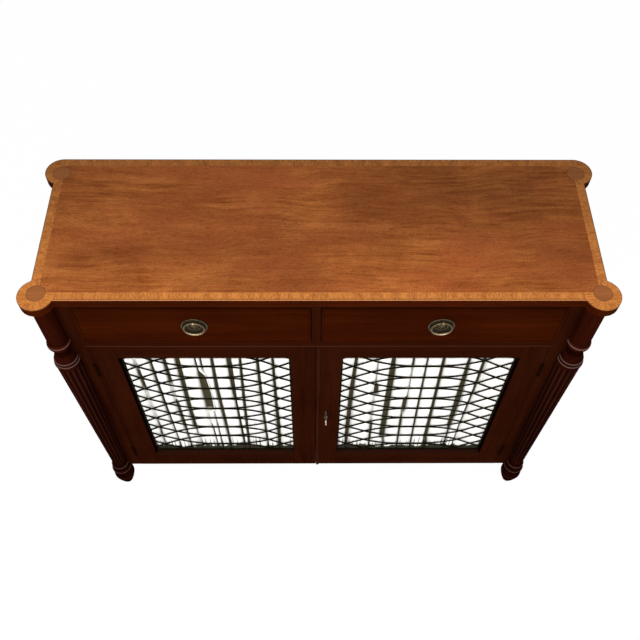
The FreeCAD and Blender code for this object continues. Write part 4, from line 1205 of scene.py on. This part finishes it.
class CHIFFONIER_OT_fit_metalwork(bpy.types.Operator):
    """Finishes the hinges, curtain rods, lock, bolts and key"""

    bl_idname = "chiffonier.fit_metalwork"
    bl_label = "Fit Metalwork"

    def execute(self, context):
        finish = context.scene.chiffonier_finish
        aged = metal("aged_bronze", finish.bronze, shaded(finish.bronze, 0.4), gloss=0.7, metallic=0.0)
        steel = metal("worn_steel", finish.steel_bright, finish.steel_dull, gloss=0.34)
        cover(aged, "case_hinge_leaves", "hinge_pins", *both("door_hinge_leaves"), *both("door_curtain_rods"))
        cover(aged, "left_door_slip_bolt", "right_door_lock", "right_door_key_escutcheon")
        cover(steel, "right_door_key", "right_door_lock_bolt")
        return {"FINISHED"}


# Stage
# Under the cabinet the floor takes a painted shadow: distances sideways, before and behind the middle.
SHADE_SIDE, SHADE_FRONT, SHADE_BACK = (0.44, 0.54), (-0.1108, -0.1125), (0.10, 0.20)


def looked_at(tree):
    """1 for rays from the camera, from reflections and through glass, 0 for light that falls on things."""
    path = put(tree, "LightPath").outputs
    seen = calc(tree, "MAXIMUM", path["Is Camera Ray"], path["Is Glossy Ray"])
    return calc(tree, "MAXIMUM", seen, path["Is Transmission Ray"])


def floor_material(colour_of_floor):
    """Pale floor that is white to the camera, to reflections and through glass, and keeps soft shadows.

    Under the cabinet, from 40 mm behind the front of the case, the floor takes a painted shadow: a near-black colour
    that is not white to the camera.
    """
    material, tree, shader = start_material("pale_floor")
    grain = noise(tree, place(tree), 60.0, 2.0)
    tone = blend_colour(tree, grain, shaded(colour_of_floor, 0.99), colour_of_floor)
    x, y = axes_of(tree)[:2]
    beside = ranged(tree, calc(tree, "ABSOLUTE", x), *SHADE_SIDE)
    before = ranged(tree, y, *SHADE_FRONT)
    behind = ranged(tree, y, *SHADE_BACK)
    outside_painted_shadow = calc(tree, "MAXIMUM", calc(tree, "MAXIMUM", before, behind), beside)
    # Painted shadow: near-black floor colour under the cabinet.
    polish(tree, shader, blend_colour(tree, outside_painted_shadow, (0.02, 0.02, 0.02), tone), roughness=0.9, shine=0.0)
    white = put(tree, "Emission", Color=(1, 1, 1, 1), Strength=1.0).outputs[0]
    mixed = put(tree, "MixShader")
    share = times(tree, looked_at(tree), times(tree, outside_painted_shadow, 0.985))
    for socket, value in zip(mixed.inputs, (share, shader.outputs[0], white)):
        tree.links.new(value, socket)
    tree.links.new(mixed.outputs[0], tree.nodes["Material Output"].inputs["Surface"])
    return material


def area_lamp(name, watts, size, where, target):
    """Soft rectangular lamp that points at a target and stays out of the picture."""
    data = bpy.data.lights.new(name, "AREA")
    data.shape = "RECTANGLE"
    data.size, data.size_y = size
    data.energy = watts
    lamp = bpy.data.objects.new(name, data)
    lamp.location = where
    lamp.rotation_euler = (Vector(target) - Vector(where)).to_track_quat("-Z", "Y").to_euler()
    lamp.visible_camera = False
    bpy.context.scene.collection.objects.link(lamp)


def set_world(strength):
    """Even light all round, white where the camera, reflections or glass look straight at it."""
    world = bpy.data.worlds.new("studio")
    bpy.context.scene.world = world
    world.use_nodes = True
    tree = world.node_tree
    background = tree.nodes["Background"].inputs
    tree.links.new(ranged(tree, looked_at(tree), 0, 1, strength, 1.0), background["Strength"])
    background["Color"].default_value = (1, 1, 1, 1)


def set_camera(stage):
    """Camera from its tilt, turn and roll: the sight line dips by the pitch, then the frame turns by the roll."""
    right = Vector((math.cos(stage.yaw), math.sin(stage.yaw), 0))
    level = Vector((-math.sin(stage.yaw), math.cos(stage.yaw), 0))
    sight = level * math.cos(stage.pitch) - Vector((0, 0, math.sin(stage.pitch)))
    up = right.cross(sight)
    turned = right * math.cos(stage.roll) + up * math.sin(stage.roll)
    upward = up * math.cos(stage.roll) - right * math.sin(stage.roll)
    data = bpy.data.cameras.new("camera")
    data.lens = stage.lens
    data.sensor_width = 36
    camera = bpy.data.objects.new("camera", data)
    matrix = Matrix((turned, upward, -sight)).transposed().to_4x4()
    matrix.translation = stage.eye
    camera.matrix_world = matrix
    bpy.context.scene.collection.objects.link(camera)
    bpy.context.scene.camera = camera


class CHIFFONIER_OT_set_stage(bpy.types.Operator):
    """Sets the floor, the lamps, the even light and the camera"""

    bl_idname = "chiffonier.set_stage"
    bl_label = "Set Stage"

    def execute(self, context):
        stage = context.scene.chiffonier_stage
        side = np.linspace(-stage.floor_size / 2, stage.floor_size / 2, 3)
        x, y = np.meshgrid(side, side)
        points = np.stack([x, y, np.zeros_like(x)], -1).reshape(-1, 3)
        faces = [grid_faces(3, 3, False)]
        make_object("floor", points, faces, floor_material(stage.floor), closed=False)
        area_lamp("key_lamp", stage.key, size=(2.0, 1.2), where=(-0.2, -2.4, 2.6), target=(0, -0.1, 0.6))
        for hand, share, aside in (("left", 1.0, -2.4), ("right", stage.right_share, 2.4)):
            watts, where = stage.fill * share, (aside, -1.2, 2.2)
            area_lamp(f"{hand}_lamp", watts, size=(1.2, 1.2), where=where, target=(0, 0, 0.6))
        set_world(stage.ambient)
        set_camera(stage)
        context.scene.view_settings.view_transform = "Standard"
        return {"FINISHED"}


OPERATORS = (
    CHIFFONIER_OT_set_stage,
    CHIFFONIER_OT_lay_veneers,
    CHIFFONIER_OT_polish_case,
    CHIFFONIER_OT_finish_inside,
    CHIFFONIER_OT_turn_columns,
    CHIFFONIER_OT_weave_grilles,
    CHIFFONIER_OT_hang_curtains,
    CHIFFONIER_OT_fit_handles,
    CHIFFONIER_OT_fit_metalwork,
)
SETTINGS = {
    "chiffonier_finish": FinishSettings,
    "chiffonier_top": TopSettings,
    "chiffonier_columns": ColumnSettings,
    "chiffonier_curtains": CurtainSettings,
    "chiffonier_grilles": GrilleSettings,
    "chiffonier_handles": HandleSettings,
    "chiffonier_stage": StageSettings,
}


class CHIFFONIER_PT_panel(bpy.types.Panel):
    """Lists the steps that dress the cabinet"""

    bl_idname = "CHIFFONIER_PT_panel"
    bl_label = "Chiffonier"
    bl_space_type = "VIEW_3D"
    bl_region_type = "UI"
    bl_category = "Chiffonier"

    def draw(self, context):
        for operator in OPERATORS:
            self.layout.operator(operator.bl_idname)


CLASSES = (*SETTINGS.values(), *OPERATORS, CHIFFONIER_PT_panel)


def register():
    for item in CLASSES:
        bpy.utils.register_class(item)
    for key, group in SETTINGS.items():
        setattr(bpy.types.Scene, key, bpy.props.PointerProperty(type=group))


def unregister():
    for key in SETTINGS:
        delattr(bpy.types.Scene, key)
    for item in reversed(CLASSES):
        bpy.utils.unregister_class(item)


def main():
    register()
    for operator in OPERATORS:
        getattr(bpy.ops.chiffonier, operator.bl_idname.split(".")[1])()


if __name__ == "__main__":
    main()
